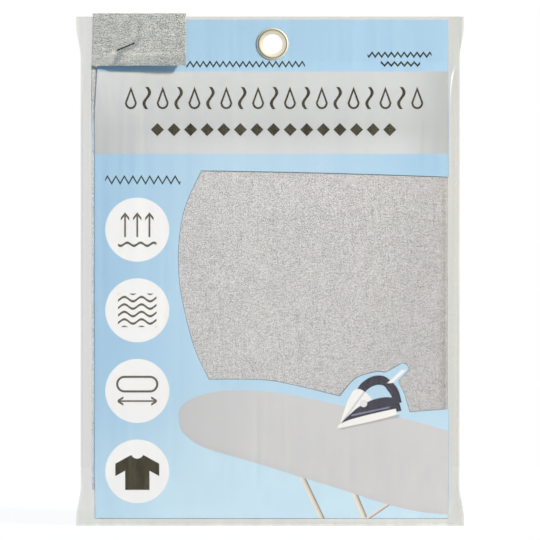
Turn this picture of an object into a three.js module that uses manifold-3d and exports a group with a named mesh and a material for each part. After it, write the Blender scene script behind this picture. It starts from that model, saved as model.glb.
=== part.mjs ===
// A metallic ironing board cover, folded flat and packed for sale: a clear bag, welded at its
// sides and bottom, that hangs from a brass eyelet, an insert card with a window, the folded
// cover behind it, and a sample of the same fabric stapled over the bag's top edge.
// Millimetres. +X is to the right of the front, +Y to the back and +Z up. The origin is the
// middle of the eyelet's hole.
import * as THREE from "three";
import { mergeVertices } from "three/addons/utils/BufferGeometryUtils.js";
import Module from "manifold-3d";

// Insert card: an A4 sheet of board, 297 long before the pad bends it
const cardWidth = 210;
const cardHeight = 295.4;
const cardThickness = 0.4;
const cardShift = -0.9; // the card's middle lies left of the eyelet
const cardTopMargin = 1.8; // from the bag's mouth down to the card

// Bag
const filmThickness = 0.12;
const bagSideMargin = 9.75; // film beside the card where the bag lies flat
const bagShift = -1.45; // the bag's middle lies left of the eyelet
const bagBottomMargin = 4.3;
const eyeletDrop = 16.2; // from the bag's mouth down to the eyelet
const sideDrawIn = 2.6; // the thick pad pulls each side in by this
const cornerFlare = 19.5; // height over which the sides open out to the corners
const upperFlareTop = 5; // from the mouth down to where the upper flare starts
const weldWidth = 1.2;
const seamGap = 0.2; // between the two films where they meet the weld
const weldClearance = 0.2;

// Folded cover: two laminated layers a panel, folded to four panels
const faceThickness = 0.3;
const foamThickness = 1;
const bondGap = 0.1; // the glue line
const layerGap = 0.3; // between layers that lie on each other
const hemWidth = 12; // the face fabric is turned in round the open edges
const coverLeftOverhang = 0.9; // past the card's left edge
const coverRightInset = 0.6; // inside the card's right edge
const coverTopRoom = 8; // below the eyelet's rim
const coverBottomRoom = 21.3; // above the bag's bottom edge
const noseLength = 330; // the cover narrows to its nose over this length
const noseTip = 42; // half width of the blunt nose tip
const noseFullness = 2.4; // powers of the nose's curve
const noseRoundness = 1.7;
const heelRadius = 70;

// Bends of the bag and the card over the pad
const topRamp = 40;
const bottomRamp = 43;
const sheetClearance = 0.3; // between card, film and pad

// Eyelet
const boreRadius = 5.95;
const eyeletWall = 0.35;
const rimRadius = 9.45;
const rimRoll = 1.05; // radius of the rolled rim, to the middle of the wall
const rimTurn = THREE.MathUtils.degToRad(126);
const seatClearance = 0.1;
const boreClearance = 0.3;
const washerRadius = 8.9;
const washerThickness = 0.4;
const clinchRoll = 0.75;
const clinchReach = 0.7;

// Sample: a strip of the same laminate folded over the mouth of the bag
const sampleWidth = 55.6;
const sampleLeft = 0.4; // past the card's left edge
const sampleLength = 31.4; // front, from the fold down to the free edge
const sampleClearance = 0.15;
const hingeGap = 0.3;
const frontLift = 1.6; // the free edge of the front flap stands off the bag
const backLift = 1.1;
const flapCurl = 1.6; // power of the curve by which a flap leaves the bag

// Staple
const wireDiameter = 0.5;
const stapleCrown = 12.7;
const stapleLeg = 4.6; // clinched length of each leg
const stapleTilt = THREE.MathUtils.degToRad(22.7);
const stapleInset = 19.6; // from the sample's left edge to the crown's middle
const stapleDrop = 19.4; // from the sample's fold down to the crown's middle
const wireClearance = 0.1;
const stapleToHinge = 3.6; // from the crown's middle down to the line where the flaps lift

// Shared by every cut
const overrun = 2;
const mergeDistance = 0.001;

// Rows of points along each bend
const sheetRows = 8;
const coverRows = 6;
const roundSides = 32;
const wireSides = 8;
const wireBendSteps = 3;
const flareRows = 3;
const windowSteps = 5;
const hairpinSteps = 4;
const tightTurnSteps = 4;
const wideTurnSteps = 6;
const flapSteps = 5;
const profileSteps = 2;

// Heights and edges that several pieces share
const bagTop = eyeletDrop;
const cardTop = bagTop - cardTopMargin;
const cardBottom = cardTop - cardHeight;
const bagBottom = cardBottom - bagBottomMargin;
const cardLeft = cardShift - cardWidth / 2;
const cardRight = cardShift + cardWidth / 2;
const bagHalfWidth = cardWidth / 2 + bagSideMargin;
const bagLeft = bagShift - bagHalfWidth;
const bagRight = bagShift + bagHalfWidth;
const headerBottom = -(rimRadius + sheetClearance);

// Thickness of the stack of panels
const layerThickness = faceThickness + bondGap + foamThickness;
const panelHalf = layerThickness + layerGap / 2;
const panelPitch = 2 * panelHalf + layerGap;
const coverHalf = 1.5 * panelPitch + panelHalf;
const coverMiddle = cardThickness / 2 + sheetClearance;

// The two films lie outside the card and the cover
const frontFilmInner = -(cardThickness / 2 + sheetClearance);
const backFilmInner = cardThickness / 2 + 2 * sheetClearance;
const seamMiddle = (frontFilmInner + backFilmInner) / 2;
const headerFront = frontFilmInner - filmThickness;
const headerBack = backFilmInner + filmThickness;

const { clamp, lerp } = THREE.MathUtils;
const wasm = await Module();
wasm.setup();

// 0 at the flat header and at the card's lower edge, 1 where the pad is at full thickness
function swell(z) {
  const fromHeader = clamp((headerBottom - z) / topRamp, 0, 1);
  const fromBottom = clamp((z - cardBottom) / bottomRamp, 0, 1);
  const softStartShare = 0.05;
  const eased = (fromHeader ** 2 / (fromHeader + softStartShare)) * (1 + softStartShare);
  return Math.sin((eased * Math.PI) / 2) * Math.sin((fromBottom * Math.PI) / 2);
}

// How far the pad has pulled the bag's sides in at a height
function drawIn(z) {
  const fromTop = clamp((bagTop - upperFlareTop - z) / cornerFlare, 0, 1);
  const fromBottom = clamp((z - cardBottom) / cornerFlare, 0, 1);
  const upper = THREE.MathUtils.smoothstep(fromTop, 0, 1);
  const lower = THREE.MathUtils.smoothstep(fromBottom, 0, 1);
  return sideDrawIn * upper * lower;
}

// Values from start to end in equal steps, both ends included
function steps(start, end, count) {
  return Array.from({ length: count + 1 }, (_, i) => lerp(start, end, i / count));
}

// Heights, from the top down, at which bent sheets have a row of points
function bendRows(top, bottom, rowsInBend) {
  const inner = [
    ...steps(bagTop - upperFlareTop, bagTop - upperFlareTop - cornerFlare, flareRows),
    ...steps(headerBottom, headerBottom - topRamp, rowsInBend),
    ...steps(cardBottom + bottomRamp, cardBottom, rowsInBend),
  ];
  const least = faceThickness;
  const rows = [top, ...inner.filter((z) => z < top - least && z > bottom + least), bottom];
  rows.sort((a, b) => b - a);
  return rows.filter((z, i) => i === 0 || rows[i - 1] - z > least);
}

// A closed geometry from vertices and triangles
function closedGeometry(vertices, triangles) {
  const geometry = new THREE.BufferGeometry();
  geometry.setAttribute("position", new THREE.Float32BufferAttribute(vertices, 3));
  geometry.setIndex(triangles);
  return geometry;
}

// A closed shell through rings of points, with its two end rings capped. The outline gives the
// rings' corners on a plane, for the caps. Seen against the path it runs anticlockwise, or
// clockwise where the plane's second axis is turned over.
function loft(rings, outline) {
  const count = outline.length;
  const vertices = rings.flatMap((ring) => ring.flatMap((p) => [p.x, p.y, p.z]));
  const triangles = [];
  for (let r = 0; r + 1 < rings.length; r++) {
    for (let i = 0; i < count; i++) {
      const a = r * count + i;
      const b = r * count + ((i + 1) % count);
      triangles.push(a, b, b + count, a, b + count, a + count);
    }
  }
  const last = (rings.length - 1) * count;
  const [start, end] = THREE.ShapeUtils.isClockWise(outline) ? [last, 0] : [0, last];
  for (const [a, b, c] of THREE.ShapeUtils.triangulateShape(outline, [])) {
    triangles.push(start + c, start + b, start + a, end + a, end + b, end + c);
  }
  return closedGeometry(vertices, triangles);
}

// A bent sheet between two surfaces, front and back, each a function of x and z that gives y.
// edge gives the x of each column at a height.
function bentSheet(rows, edge, front, back) {
  const columns = edge(rows[0]).length;
  const vertices = [];
  for (const surface of [front, back]) {
    for (const z of rows) {
      edge(z).forEach((x, i) => vertices.push(x, surface(x, z, i), z));
    }
  }
  const side = rows.length * columns;
  const triangles = [];
  const quad = (a, b, c, d) => triangles.push(a, b, c, a, c, d);
  for (let r = 0; r + 1 < rows.length; r++) {
    for (let i = 0; i + 1 < columns; i++) {
      const a = r * columns + i;
      quad(a, a + columns, a + columns + 1, a + 1);
      quad(side + a, side + a + 1, side + a + columns + 1, side + a + columns);
    }
    const left = r * columns;
    const right = left + columns - 1;
    quad(left, side + left, side + left + columns, left + columns);
    quad(right, right + columns, side + right + columns, side + right);
  }
  for (let i = 0; i + 1 < columns; i++) {
    const low = (rows.length - 1) * columns + i;
    quad(i, i + 1, side + i + 1, side + i);
    quad(low, side + low, side + low + 1, low + 1);
  }
  return closedGeometry(vertices, triangles);
}

// Solids for boolean cuts, and back
function toSolid(geometry) {
  const bare = geometry.clone();
  bare.deleteAttribute("normal");
  bare.deleteAttribute("uv");
  const merged = mergeVertices(bare, mergeDistance);
  return new wasm.Manifold(
    new wasm.Mesh({
      numProp: 3,
      vertProperties: merged.attributes.position.array,
      triVerts: new Uint32Array(merged.index.array),
    }),
  );
}

function toGeometry(solid) {
  const mesh = solid.getMesh();
  return closedGeometry(mesh.vertProperties, Array.from(mesh.triVerts));
}

function cut(geometry, ...tools) {
  let solid = toSolid(geometry);
  for (const tool of tools) solid = solid.subtract(toSolid(tool));
  return toGeometry(solid);
}

// A prism along Y from a shape drawn on X and Z
function prismAlongY(shape, front, back, curveSegments) {
  const depth = back - front;
  const prism = new THREE.ExtrudeGeometry(shape, { depth, bevelEnabled: false, curveSegments });
  return prism.rotateX(Math.PI / 2).translate(0, back, 0);
}

// A prism along X from a shape drawn on Y and Z
function prismAlongX(shape, left, right) {
  const prism = new THREE.ExtrudeGeometry(shape, { depth: right - left, bevelEnabled: false });
  const x = new THREE.Vector3(1, 0, 0);
  const y = new THREE.Vector3(0, 1, 0);
  const z = new THREE.Vector3(0, 0, 1);
  return prism.applyMatrix4(new THREE.Matrix4().makeBasis(y, z, x)).translate(left, 0, 0);
}

// A round cutter along Y
function holeCutter(radius, x, z, front, back, sides) {
  const hole = new THREE.CylinderGeometry(radius, radius, back - front, sides);
  return hole.translate(x, (front + back) / 2, z);
}

// A band of even width along a line of points, as a closed outline
function bandOutline(points, inner, outer) {
  const normalAt = (i) => {
    const before = points[Math.max(i - 1, 0)];
    const after = points[Math.min(i + 1, points.length - 1)];
    const along = new THREE.Vector2().subVectors(after, before).normalize();
    return new THREE.Vector2(-along.y, along.x);
  };
  const side = (distance) =>
    points.map((p, i) => p.clone().addScaledVector(normalAt(i), distance));
  return [...side(outer), ...side(inner).reverse()];
}

function named(name, geometry, material) {
  const mesh = new THREE.Mesh(geometry, material);
  mesh.name = name;
  return mesh;
}

// Materials
const finish = (color, roughness, metalness, extra = {}) =>
  new THREE.MeshStandardMaterial({ color, roughness, metalness, ...extra });
const clearFilm = () => finish(0xdcded6, 0.15, 0, { transparent: true, opacity: 0.25 });
const printedBoard = () => finish(0xb0d0e6, 0.4, 0);
const metallicFabric = () => finish(0xc7c7c5, 0.45, 0.5);
const foam = () => finish(0xe9e0b8, 0.9, 0);
const brass = () => finish(0xcbb27a, 0.3, 1);
const steelWire = () => finish(0x8b8d90, 0.3, 1);

// The sample's fold over the mouth of the bag, and the staple's place in it
const sampleInnerRadius = (headerBack - headerFront) / 2 + sampleClearance;
const sampleFoamRadius = sampleInnerRadius + foamThickness;
const sampleFaceRadius = sampleFoamRadius + bondGap;
const sampleOuterRadius = sampleFaceRadius + faceThickness;
const foldHeight = bagTop + sampleClearance - sampleInnerRadius;
const sampleTop = foldHeight + sampleOuterRadius;
const sampleEdge = cardLeft - sampleLeft;
const crownMiddle = new THREE.Vector2(sampleEdge + stapleInset, sampleTop - stapleDrop);
const crownWay = new THREE.Vector2(Math.cos(stapleTilt), Math.sin(stapleTilt));
const legReach = (stapleCrown - wireDiameter) / 2; // from the crown's middle to each leg
const hingeHeight = crownMiddle.y - stapleToHinge;

function stapleHoles() {
  const radius = wireDiameter / 2 + wireClearance;
  const front = seamMiddle - sampleOuterRadius - overrun;
  const back = seamMiddle + sampleOuterRadius + overrun;
  return [-legReach, legReach].map((across) => {
    const leg = crownMiddle.clone().addScaledVector(crownWay, across);
    return holeCutter(radius, leg.x, leg.y, front, back, wireSides);
  });
}

function eyeletHole() {
  const radius = boreRadius + eyeletWall + boreClearance;
  return holeCutter(radius, 0, 0, headerFront - overrun, headerBack + overrun, roundSides);
}

// Bag: two films that meet at the side and bottom welds and lie close together at the open
// mouth. Their surfaces rise from the seam to the card or the cover across the side margins.
function bagFilm(sign, inner) {
  const marginShares = [0, 0.2, 0.45, 0.7, 1];
  const leftEdge = (z) => bagLeft + drawIn(z) + weldWidth + weldClearance;
  const rightEdge = (z) => bagRight - drawIn(z) - weldWidth - weldClearance;
  const coverEdge = Math.min(cardLeft, coverLeft) - sheetClearance;
  const cardEdge = cardRight + sheetClearance;
  const edge = (z) => [
    ...marginShares.map((share) => lerp(leftEdge(z), coverEdge, share)),
    ...marginShares.map((share) => lerp(rightEdge(z), cardEdge, share)).reverse(),
  ];
  const columns = 2 * marginShares.length;
  const standOff = (column) => {
    const share = marginShares[Math.min(column, columns - 1 - column)];
    return Math.sin((share * Math.PI) / 2);
  };
  const lowerEdge = bagBottom + weldWidth + weldClearance;
  const belowCard = cardBottom - sheetClearance;
  const aboveCard = cardTop + sheetClearance;
  const closing = (z) =>
    clamp((z - lowerEdge) / (belowCard - lowerEdge), 0, 1) *
    clamp((bagTop - z) / (bagTop - aboveCard), 0, 1);
  const surface = (offset) => (x, z, column) => {
    const seam = seamMiddle + (sign * seamGap) / 2;
    const full = inner + sign * coverHalf * swell(z);
    return lerp(seam, full, standOff(column) * closing(z)) + sign * offset;
  };
  const rows = [...bendRows(bagTop, lowerEdge, sheetRows), aboveCard, belowCard].sort((a, b) => b - a);
  const near = surface(0);
  const far = surface(filmThickness);
  return sign < 0 ? bentSheet(rows, edge, far, near) : bentSheet(rows, edge, near, far);
}

function weldStrip(places, across, isBottom) {
  const half = seamGap / 2 + filmThickness;
  const outline = [
    new THREE.Vector2(0, -half),
    new THREE.Vector2(across, -half),
    new THREE.Vector2(across, half),
    new THREE.Vector2(0, half),
  ];
  const rings = places.map(([x, z]) =>
    outline.map((p) => {
      const y = seamMiddle + p.y;
      return isBottom ? new THREE.Vector3(x, y, z + p.x) : new THREE.Vector3(x + p.x, y, z);
    }),
  );
  return loft(rings, outline);
}

function sideWeld(side) {
  const rows = bendRows(bagTop, bagBottom, sheetRows).reverse();
  const places = rows.map((z) =>
    side < 0 ? [bagLeft + drawIn(z), z] : [bagRight - drawIn(z) - weldWidth, z],
  );
  return weldStrip(places, weldWidth, false);
}

function bottomWeld() {
  const inset = weldWidth + weldClearance;
  const places = [
    [bagRight - inset, bagBottom],
    [bagLeft + inset, bagBottom],
  ];
  return weldStrip(places, weldWidth, true);
}

// Insert card, with its window open to the right edge and a tab that reaches into the window.
// The window's outline is in shares of the card's width and height from its top left corner.
const windowTopShares = [
  [0.3043, 0.3038],
  [0.638, 0.3064],
];
const windowLeftShares = [
  [0.2528, 0.3924],
  [0.2413, 0.5117],
  [0.2784, 0.6419],
  [0.3259, 0.7196],
];
const windowSillShares = [
  [0.4736, 0.7206],
  [0.5596, 0.7302],
  [0.6929, 0.7531],
];
const tabTopShares = [
  [0.7238, 0.7262],
  [0.7508, 0.7128],
  [0.7992, 0.7042],
  [0.8234, 0.7048],
  [0.8586, 0.6908],
  [0.8746, 0.6876],
  [0.8881, 0.6994],
  [0.8664, 0.7186],
  [0.86, 0.7262],
  [0.8746, 0.7472],
  [0.8909, 0.7847],
];
const windowOpenTopShare = 0.3164;
const windowOpenSillShare = 0.7789;

function onCard([across, down]) {
  return new THREE.Vector2(cardLeft + across * cardWidth, cardTop - down * cardHeight);
}

function windowShape() {
  const past = cardRight + overrun;
  const openTop = onCard([1, windowOpenTopShare]);
  const openSill = onCard([1, windowOpenSillShare]);
  const [corner, topMiddle] = windowTopShares.map(onCard);
  const shape = new THREE.Shape();
  shape.moveTo(past, openTop.y);
  shape.lineTo(openTop.x, openTop.y);
  shape.quadraticCurveTo(topMiddle.x, topMiddle.y, corner.x, corner.y);
  shape.splineThru(windowLeftShares.map(onCard));
  shape.splineThru(windowSillShares.map(onCard));
  shape.splineThru(tabTopShares.map(onCard));
  shape.lineTo(openSill.x, openSill.y);
  shape.lineTo(past, openSill.y);
  return shape;
}

function insertCard() {
  const rows = bendRows(cardTop, cardBottom, sheetRows);
  const edge = () => [cardLeft, cardRight];
  const front = (x, z) => -coverHalf * swell(z) - cardThickness / 2;
  const back = (x, z) => -coverHalf * swell(z) + cardThickness / 2;
  const sheet = bentSheet(rows, edge, front, back);
  const reach = coverHalf + cardThickness + overrun;
  const window = prismAlongY(windowShape(), -reach, reach, windowSteps);
  return cut(sheet, window, eyeletHole(), ...stapleHoles());
}

// Folded cover. The flat cover is first folded in half along its length, face outwards, with
// the fold at the right, then in half twice across. Its section across the panels is a hairpin,
// and the hairpin follows a path of four panels and three turns.
const coverLeft = cardLeft - coverLeftOverhang;
const coverRight = cardRight - coverRightInset;
const coverTop = headerBottom - coverTopRoom + sheetClearance;
const coverBottom = bagBottom + coverBottomRoom;
const turnTop = coverTop - panelPitch / 2 - panelHalf;
const turnBottom = coverBottom + coverHalf;

function turn(centreY, centreZ, radius, fromAngle, toAngle, count) {
  return steps(fromAngle, toAngle, count)
    .slice(1, -1)
    .map((angle) => ({
      y: centreY + radius * Math.cos(angle),
      z: centreZ + radius * Math.sin(angle),
      normal: [Math.cos(angle), Math.sin(angle)],
    }));
}

const turnedOver = (place) => ({ ...place, normal: place.normal.map((value) => -value) });
const noseRowShares = [0.4, 0.7];
const heelRowShares = [0.02, 0.17, 0.24];

function coverPath() {
  const near = panelPitch / 2;
  const far = 1.5 * panelPitch;
  const bends = bendRows(turnTop, turnBottom, coverRows);
  const shaped = (shares) => {
    const extra = shares.map((share) => lerp(turnTop, turnBottom, share));
    return [...bends, ...extra].sort((a, b) => b - a);
  };
  const panel = (y, heights, side) => heights.map((z) => ({ y, z, normal: [side, 0] }));
  const nose = panel(near, shaped(noseRowShares), 1);
  const second = panel(-near, [...bends].reverse(), -1);
  const front = panel(-far, bends, 1);
  const heel = panel(far, shaped(heelRowShares).reverse(), -1);
  const innerTurn = turn(0, turnBottom, near, 0, -Math.PI, tightTurnSteps);
  const topTurn = turn(-panelPitch, turnTop, near, 0, Math.PI, tightTurnSteps).map(turnedOver);
  const outerTurn = turn(0, turnBottom, far, Math.PI, 2 * Math.PI, wideTurnSteps).map(turnedOver);
  return [...nose, ...innerTurn, ...second, ...topTurn, ...front, ...outerTurn, ...heel];
}

// Half width of the cover, from its fold, at each place along the path
function halfWidths(path) {
  const full = coverRight - coverLeft;
  const along = [0];
  for (let i = 1; i < path.length; i++) {
    along.push(along[i - 1] + Math.hypot(path[i].y - path[i - 1].y, path[i].z - path[i - 1].z));
  }
  const length = along[along.length - 1];
  return along.map((distance) => {
    const toNose = clamp(1 - distance / noseLength, 0, 1);
    const nose = noseTip + (full - noseTip) * (1 - toNose ** noseFullness) ** (1 / noseRoundness);
    const toHeel = clamp(1 - (length - distance) / heelRadius, 0, 1);
    const heel = full - heelRadius * (1 - Math.sqrt(1 - toHeel ** 2));
    return Math.min(nose, heel);
  });
}

// Sections of the hairpin, as functions of the left edge: x and distance from the mid-line
function arcPoints(radius, fromAngle, toAngle, count) {
  const centre = coverRight - panelHalf;
  return steps(fromAngle, toAngle, count).map(
    (angle) => new THREE.Vector2(centre + radius * Math.cos(angle), radius * Math.sin(angle)),
  );
}

function faceSection(left) {
  const outer = panelHalf;
  const inner = outer - faceThickness;
  const core = layerGap / 2;
  const hem = left + hemWidth;
  const corner = (x, n) => new THREE.Vector2(x, n);
  return [
    corner(hem, core),
    corner(left, core),
    corner(left, outer),
    ...arcPoints(outer, Math.PI / 2, -Math.PI / 2, hairpinSteps),
    corner(left, -outer),
    corner(left, -core),
    corner(hem, -core),
    corner(hem, -core - faceThickness),
    corner(left + faceThickness, -core - faceThickness),
    corner(left + faceThickness, -inner),
    ...arcPoints(inner, -Math.PI / 2, Math.PI / 2, hairpinSteps),
    corner(left + faceThickness, inner),
    corner(left + faceThickness, core + faceThickness),
    corner(hem, core + faceThickness),
  ];
}

function foamSection(left) {
  const outer = panelHalf - faceThickness - bondGap;
  const core = layerGap / 2;
  const lining = core + faceThickness + bondGap;
  const start = left + faceThickness + bondGap;
  const hem = left + hemWidth + layerGap;
  const corner = (x, n) => new THREE.Vector2(x, n);
  return [
    corner(hem, core),
    corner(hem, lining),
    corner(start, lining),
    corner(start, outer),
    ...arcPoints(outer, Math.PI / 2, -Math.PI / 2, hairpinSteps),
    corner(start, -outer),
    corner(start, -lining),
    corner(hem, -lining),
    corner(hem, -core),
    ...arcPoints(core, -Math.PI / 2, Math.PI / 2, hairpinSteps / 2),
  ];
}

function foldedCover(section) {
  const path = coverPath();
  const widths = halfWidths(path);
  const rings = path.map((place, i) => {
    const outline = section(coverRight - widths[i]);
    return outline.map((p) => {
      const y = place.y + p.y * place.normal[0];
      const z = place.z + p.y * place.normal[1];
      return new THREE.Vector3(p.x, coverMiddle + y * swell(z), z);
    });
  });
  return loft(rings, section(coverLeft));
}

// Eyelet: a barrel with a rolled front rim, its back edge curled over a flat washer
function revolve(outline) {
  const profile = THREE.ShapeUtils.isClockWise(outline) ? [...outline].reverse() : outline;
  return new THREE.LatheGeometry([...profile, profile[0].clone()], roundSides);
}

function eyeletBarrel() {
  const tube = boreRadius + eyeletWall / 2;
  const rimCentre = rimRadius - eyeletWall / 2 - rimRoll;
  const rimBase = headerFront - seatClearance - eyeletWall / 2;
  const clinchBase = headerBack + 2 * seatClearance + washerThickness + eyeletWall / 2;
  const line = new THREE.Path();
  line.moveTo(rimCentre + rimRoll, rimBase);
  line.absarc(rimCentre, rimBase, rimRoll, 0, -rimTurn, true);
  line.quadraticCurveTo(tube, rimBase, tube, seamMiddle);
  line.lineTo(tube, clinchBase - clinchRoll / 2);
  line.absarc(tube + clinchRoll, clinchBase - clinchRoll / 2, clinchRoll, Math.PI, Math.PI / 2, true);
  line.lineTo(tube + clinchRoll + clinchReach, clinchBase + clinchRoll / 2);
  const points = line.getPoints(profileSteps);
  const spaced = points.filter((p, i) => i === 0 || p.distanceTo(points[i - 1]) > mergeDistance);
  return revolve(bandOutline(spaced, -eyeletWall / 2, eyeletWall / 2));
}

function eyeletWasher() {
  const inner = boreRadius + eyeletWall + seatClearance;
  const front = headerBack + seatClearance;
  const back = front + washerThickness;
  const chamfer = washerThickness / 3;
  return revolve([
    new THREE.Vector2(inner, front),
    new THREE.Vector2(washerRadius, front),
    new THREE.Vector2(washerRadius, back - chamfer),
    new THREE.Vector2(washerRadius - chamfer, back),
    new THREE.Vector2(inner, back),
  ]);
}

// Sample. The held part runs over the mouth of the bag, and each flap hangs below the staple.
function heldSample(inner, outer) {
  const lowerEdge = hingeHeight + hingeGap / 2;
  const shape = new THREE.Shape();
  shape.moveTo(seamMiddle - inner, lowerEdge);
  shape.lineTo(seamMiddle - inner, foldHeight);
  shape.absarc(seamMiddle, foldHeight, inner, Math.PI, 0, true);
  shape.lineTo(seamMiddle + inner, lowerEdge);
  shape.lineTo(seamMiddle + outer, lowerEdge);
  shape.lineTo(seamMiddle + outer, foldHeight);
  shape.absarc(seamMiddle, foldHeight, outer, 0, Math.PI, false);
  shape.lineTo(seamMiddle - outer, lowerEdge);
  return cut(prismAlongX(shape, sampleEdge, sampleEdge + sampleWidth), ...stapleHoles());
}

function sampleFlap(side, lift, inner, outer) {
  const top = hingeHeight - hingeGap / 2;
  const bottom = sampleTop - sampleLength;
  const middle = steps(0, 1, flapSteps).map((share) => {
    const standOff = lift * share ** flapCurl;
    return new THREE.Vector2(seamMiddle + side * standOff, lerp(top, bottom, share));
  });
  const shape = new THREE.Shape(bandOutline(middle, side * inner, side * outer));
  return prismAlongX(shape, sampleEdge, sampleEdge + sampleWidth);
}

// Staple: the crown lies on the sample's face, and the legs go through everything and are
// clinched towards each other at the back
function staple() {
  const radius = wireDiameter / 2;
  const front = seamMiddle - sampleOuterRadius - wireClearance - radius;
  const back = seamMiddle + sampleOuterRadius + wireClearance + radius;
  const bend = wireDiameter;
  const tip = legReach - stapleLeg;
  const corner = (across, y, from) =>
    steps(0, Math.PI / 2, wireBendSteps).map((turned) => {
      const angle = from + turned;
      return [across + bend * Math.cos(angle), y + bend * Math.sin(angle), angle];
    });
  const line = [
    [-tip, back, Math.PI / 2],
    ...corner(-legReach + bend, back - bend, Math.PI / 2),
    ...corner(-legReach + bend, front + bend, Math.PI),
    ...corner(legReach - bend, front + bend, 1.5 * Math.PI),
    ...corner(legReach - bend, back - bend, 0),
    [tip, back, Math.PI / 2],
  ];
  const outline = steps(0, 2 * Math.PI, wireSides)
    .slice(0, -1)
    .map((angle) => new THREE.Vector2(radius * Math.cos(angle), radius * Math.sin(angle)));
  const rings = line.map(([across, y, angle]) =>
    outline.map((p) => {
      const along = across + p.x * Math.cos(angle);
      const depth = y + p.x * Math.sin(angle);
      const place = crownMiddle.clone().addScaledVector(crownWay, along);
      return new THREE.Vector3(place.x + p.y * crownWay.y, depth, place.y - p.y * crownWay.x);
    }),
  );
  return loft(rings, outline);
}

// Assembly
const bag = new THREE.Group();
bag.add(
  named("bag_front_film", cut(bagFilm(-1, frontFilmInner), eyeletHole(), ...stapleHoles()), clearFilm()),
  named("bag_back_film", cut(bagFilm(1, backFilmInner), eyeletHole(), ...stapleHoles()), clearFilm()),
  named("bag_left_weld", sideWeld(-1), clearFilm()),
  named("bag_right_weld", sideWeld(1), clearFilm()),
  named("bag_bottom_weld", bottomWeld(), clearFilm()),
);

const cover = new THREE.Group();
cover.add(
  named("cover_metallic_face", foldedCover(faceSection), metallicFabric()),
  named("cover_foam_lining", foldedCover(foamSection), foam()),
);

const eyelet = new THREE.Group();
eyelet.add(
  named("eyelet_barrel", eyeletBarrel(), brass()),
  named("eyelet_washer", eyeletWasher(), brass()),
);

const sample = new THREE.Group();
sample.add(
  named("sample_face", heldSample(sampleFaceRadius, sampleOuterRadius), metallicFabric()),
  named("sample_foam", heldSample(sampleInnerRadius, sampleFoamRadius), foam()),
);
for (const [place, side, lift] of [
  ["front", -1, frontLift],
  ["back", 1, backLift],
]) {
  const face = sampleFlap(side, lift, sampleFaceRadius, sampleOuterRadius);
  const lining = sampleFlap(side, lift, sampleInnerRadius, sampleFoamRadius);
  sample.add(
    named(`sample_${place}_flap_face`, face, metallicFabric()),
    named(`sample_${place}_flap_foam`, lining, foam()),
  );
}

const pack = new THREE.Group();
pack.add(bag, named("insert_card", insertCard(), printedBoard()), cover, eyelet, sample);
pack.add(named("staple", staple(), steelWire()));

export default pack;
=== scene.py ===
import math

import bmesh
import bpy
from mathutils import Matrix, Vector, noise


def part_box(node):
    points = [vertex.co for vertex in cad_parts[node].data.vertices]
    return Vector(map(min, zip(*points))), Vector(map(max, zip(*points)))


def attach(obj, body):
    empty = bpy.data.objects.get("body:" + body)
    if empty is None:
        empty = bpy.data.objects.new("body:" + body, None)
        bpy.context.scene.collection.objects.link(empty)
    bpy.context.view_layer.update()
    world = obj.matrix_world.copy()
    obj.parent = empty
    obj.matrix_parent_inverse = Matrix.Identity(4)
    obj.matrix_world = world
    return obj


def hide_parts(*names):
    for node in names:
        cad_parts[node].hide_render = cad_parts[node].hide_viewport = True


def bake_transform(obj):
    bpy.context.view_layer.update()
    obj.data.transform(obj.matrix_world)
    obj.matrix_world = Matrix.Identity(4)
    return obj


bl_info = {
    "name": "Packed ironing board cover",
    "version": (1, 0, 0),
    "blender": (4, 5, 0),
    "location": "3D View > Sidebar > Packed cover",
    "description": "Builds a metallic ironing board cover, folded in its hanging bag",
    "category": "Add Mesh",
}

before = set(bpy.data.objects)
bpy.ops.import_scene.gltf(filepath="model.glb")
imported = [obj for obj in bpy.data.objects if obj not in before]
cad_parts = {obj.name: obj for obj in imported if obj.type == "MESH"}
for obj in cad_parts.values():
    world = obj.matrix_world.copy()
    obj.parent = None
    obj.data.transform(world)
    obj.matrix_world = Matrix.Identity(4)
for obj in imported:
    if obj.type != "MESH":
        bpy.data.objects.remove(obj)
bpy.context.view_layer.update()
MM = 0.001
X, Y, Z = range(3)


def span(node, axis):
    low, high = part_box(node)
    return low[axis], high[axis]


# Edges and heights that the frame gives
CARD_LEFT, CARD_RIGHT = span("insert_card", X)
CARD_BOTTOM, CARD_TOP = span("insert_card", Z)
BAG_LEFT = span("bag_left_weld", X)[0]
BAG_RIGHT = span("bag_right_weld", X)[1]
BAG_BOTTOM, BAG_TOP = span("bag_left_weld", Z)
COVER_LEFT, COVER_RIGHT = span("cover_metallic_face", X)
COVER_BOTTOM, COVER_TOP = span("cover_metallic_face", Z)
COVER_FRONT, COVER_BACK = span("cover_metallic_face", Y)
SAMPLE_LEFT, SAMPLE_RIGHT = span("sample_face", X)
SAMPLE_BOTTOM = span("sample_front_flap_face", Z)[0]
HELD_BOTTOM, SAMPLE_TOP = span("sample_face", Z)
SAMPLE_FRONT, SAMPLE_BACK = span("sample_face", Y)
RIM_RADIUS = span("eyelet_barrel", X)[1]
EYELET_BACK = span("eyelet_barrel", Y)[1]
WASHER_RADIUS = span("eyelet_washer", X)[1]
WASHER_FRONT, WASHER_BACK = span("eyelet_washer", Y)

# The pack's own small sizes
SEAM_MIDDLE = 0.15 * MM
WELD_WIDTH = 1.2 * MM
DRAW_IN = 2.6 * MM
CORNER_FLARE = 19.5 * MM
FLARE_TOP = BAG_TOP - 5 * MM
HEADER_BOTTOM = -9.75 * MM
TOP_RAMP = 40 * MM
BOTTOM_RAMP = 43 * MM
SHEET_GAP = 0.3 * MM
BORE_RADIUS = 5.95 * MM
EYELET_WALL = 0.35 * MM
CLEAR_RADIUS = BORE_RADIUS + EYELET_WALL + SHEET_GAP
FLAP_GAP = 0.3 * MM
HINGE = HELD_BOTTOM - FLAP_GAP / 2

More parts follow.
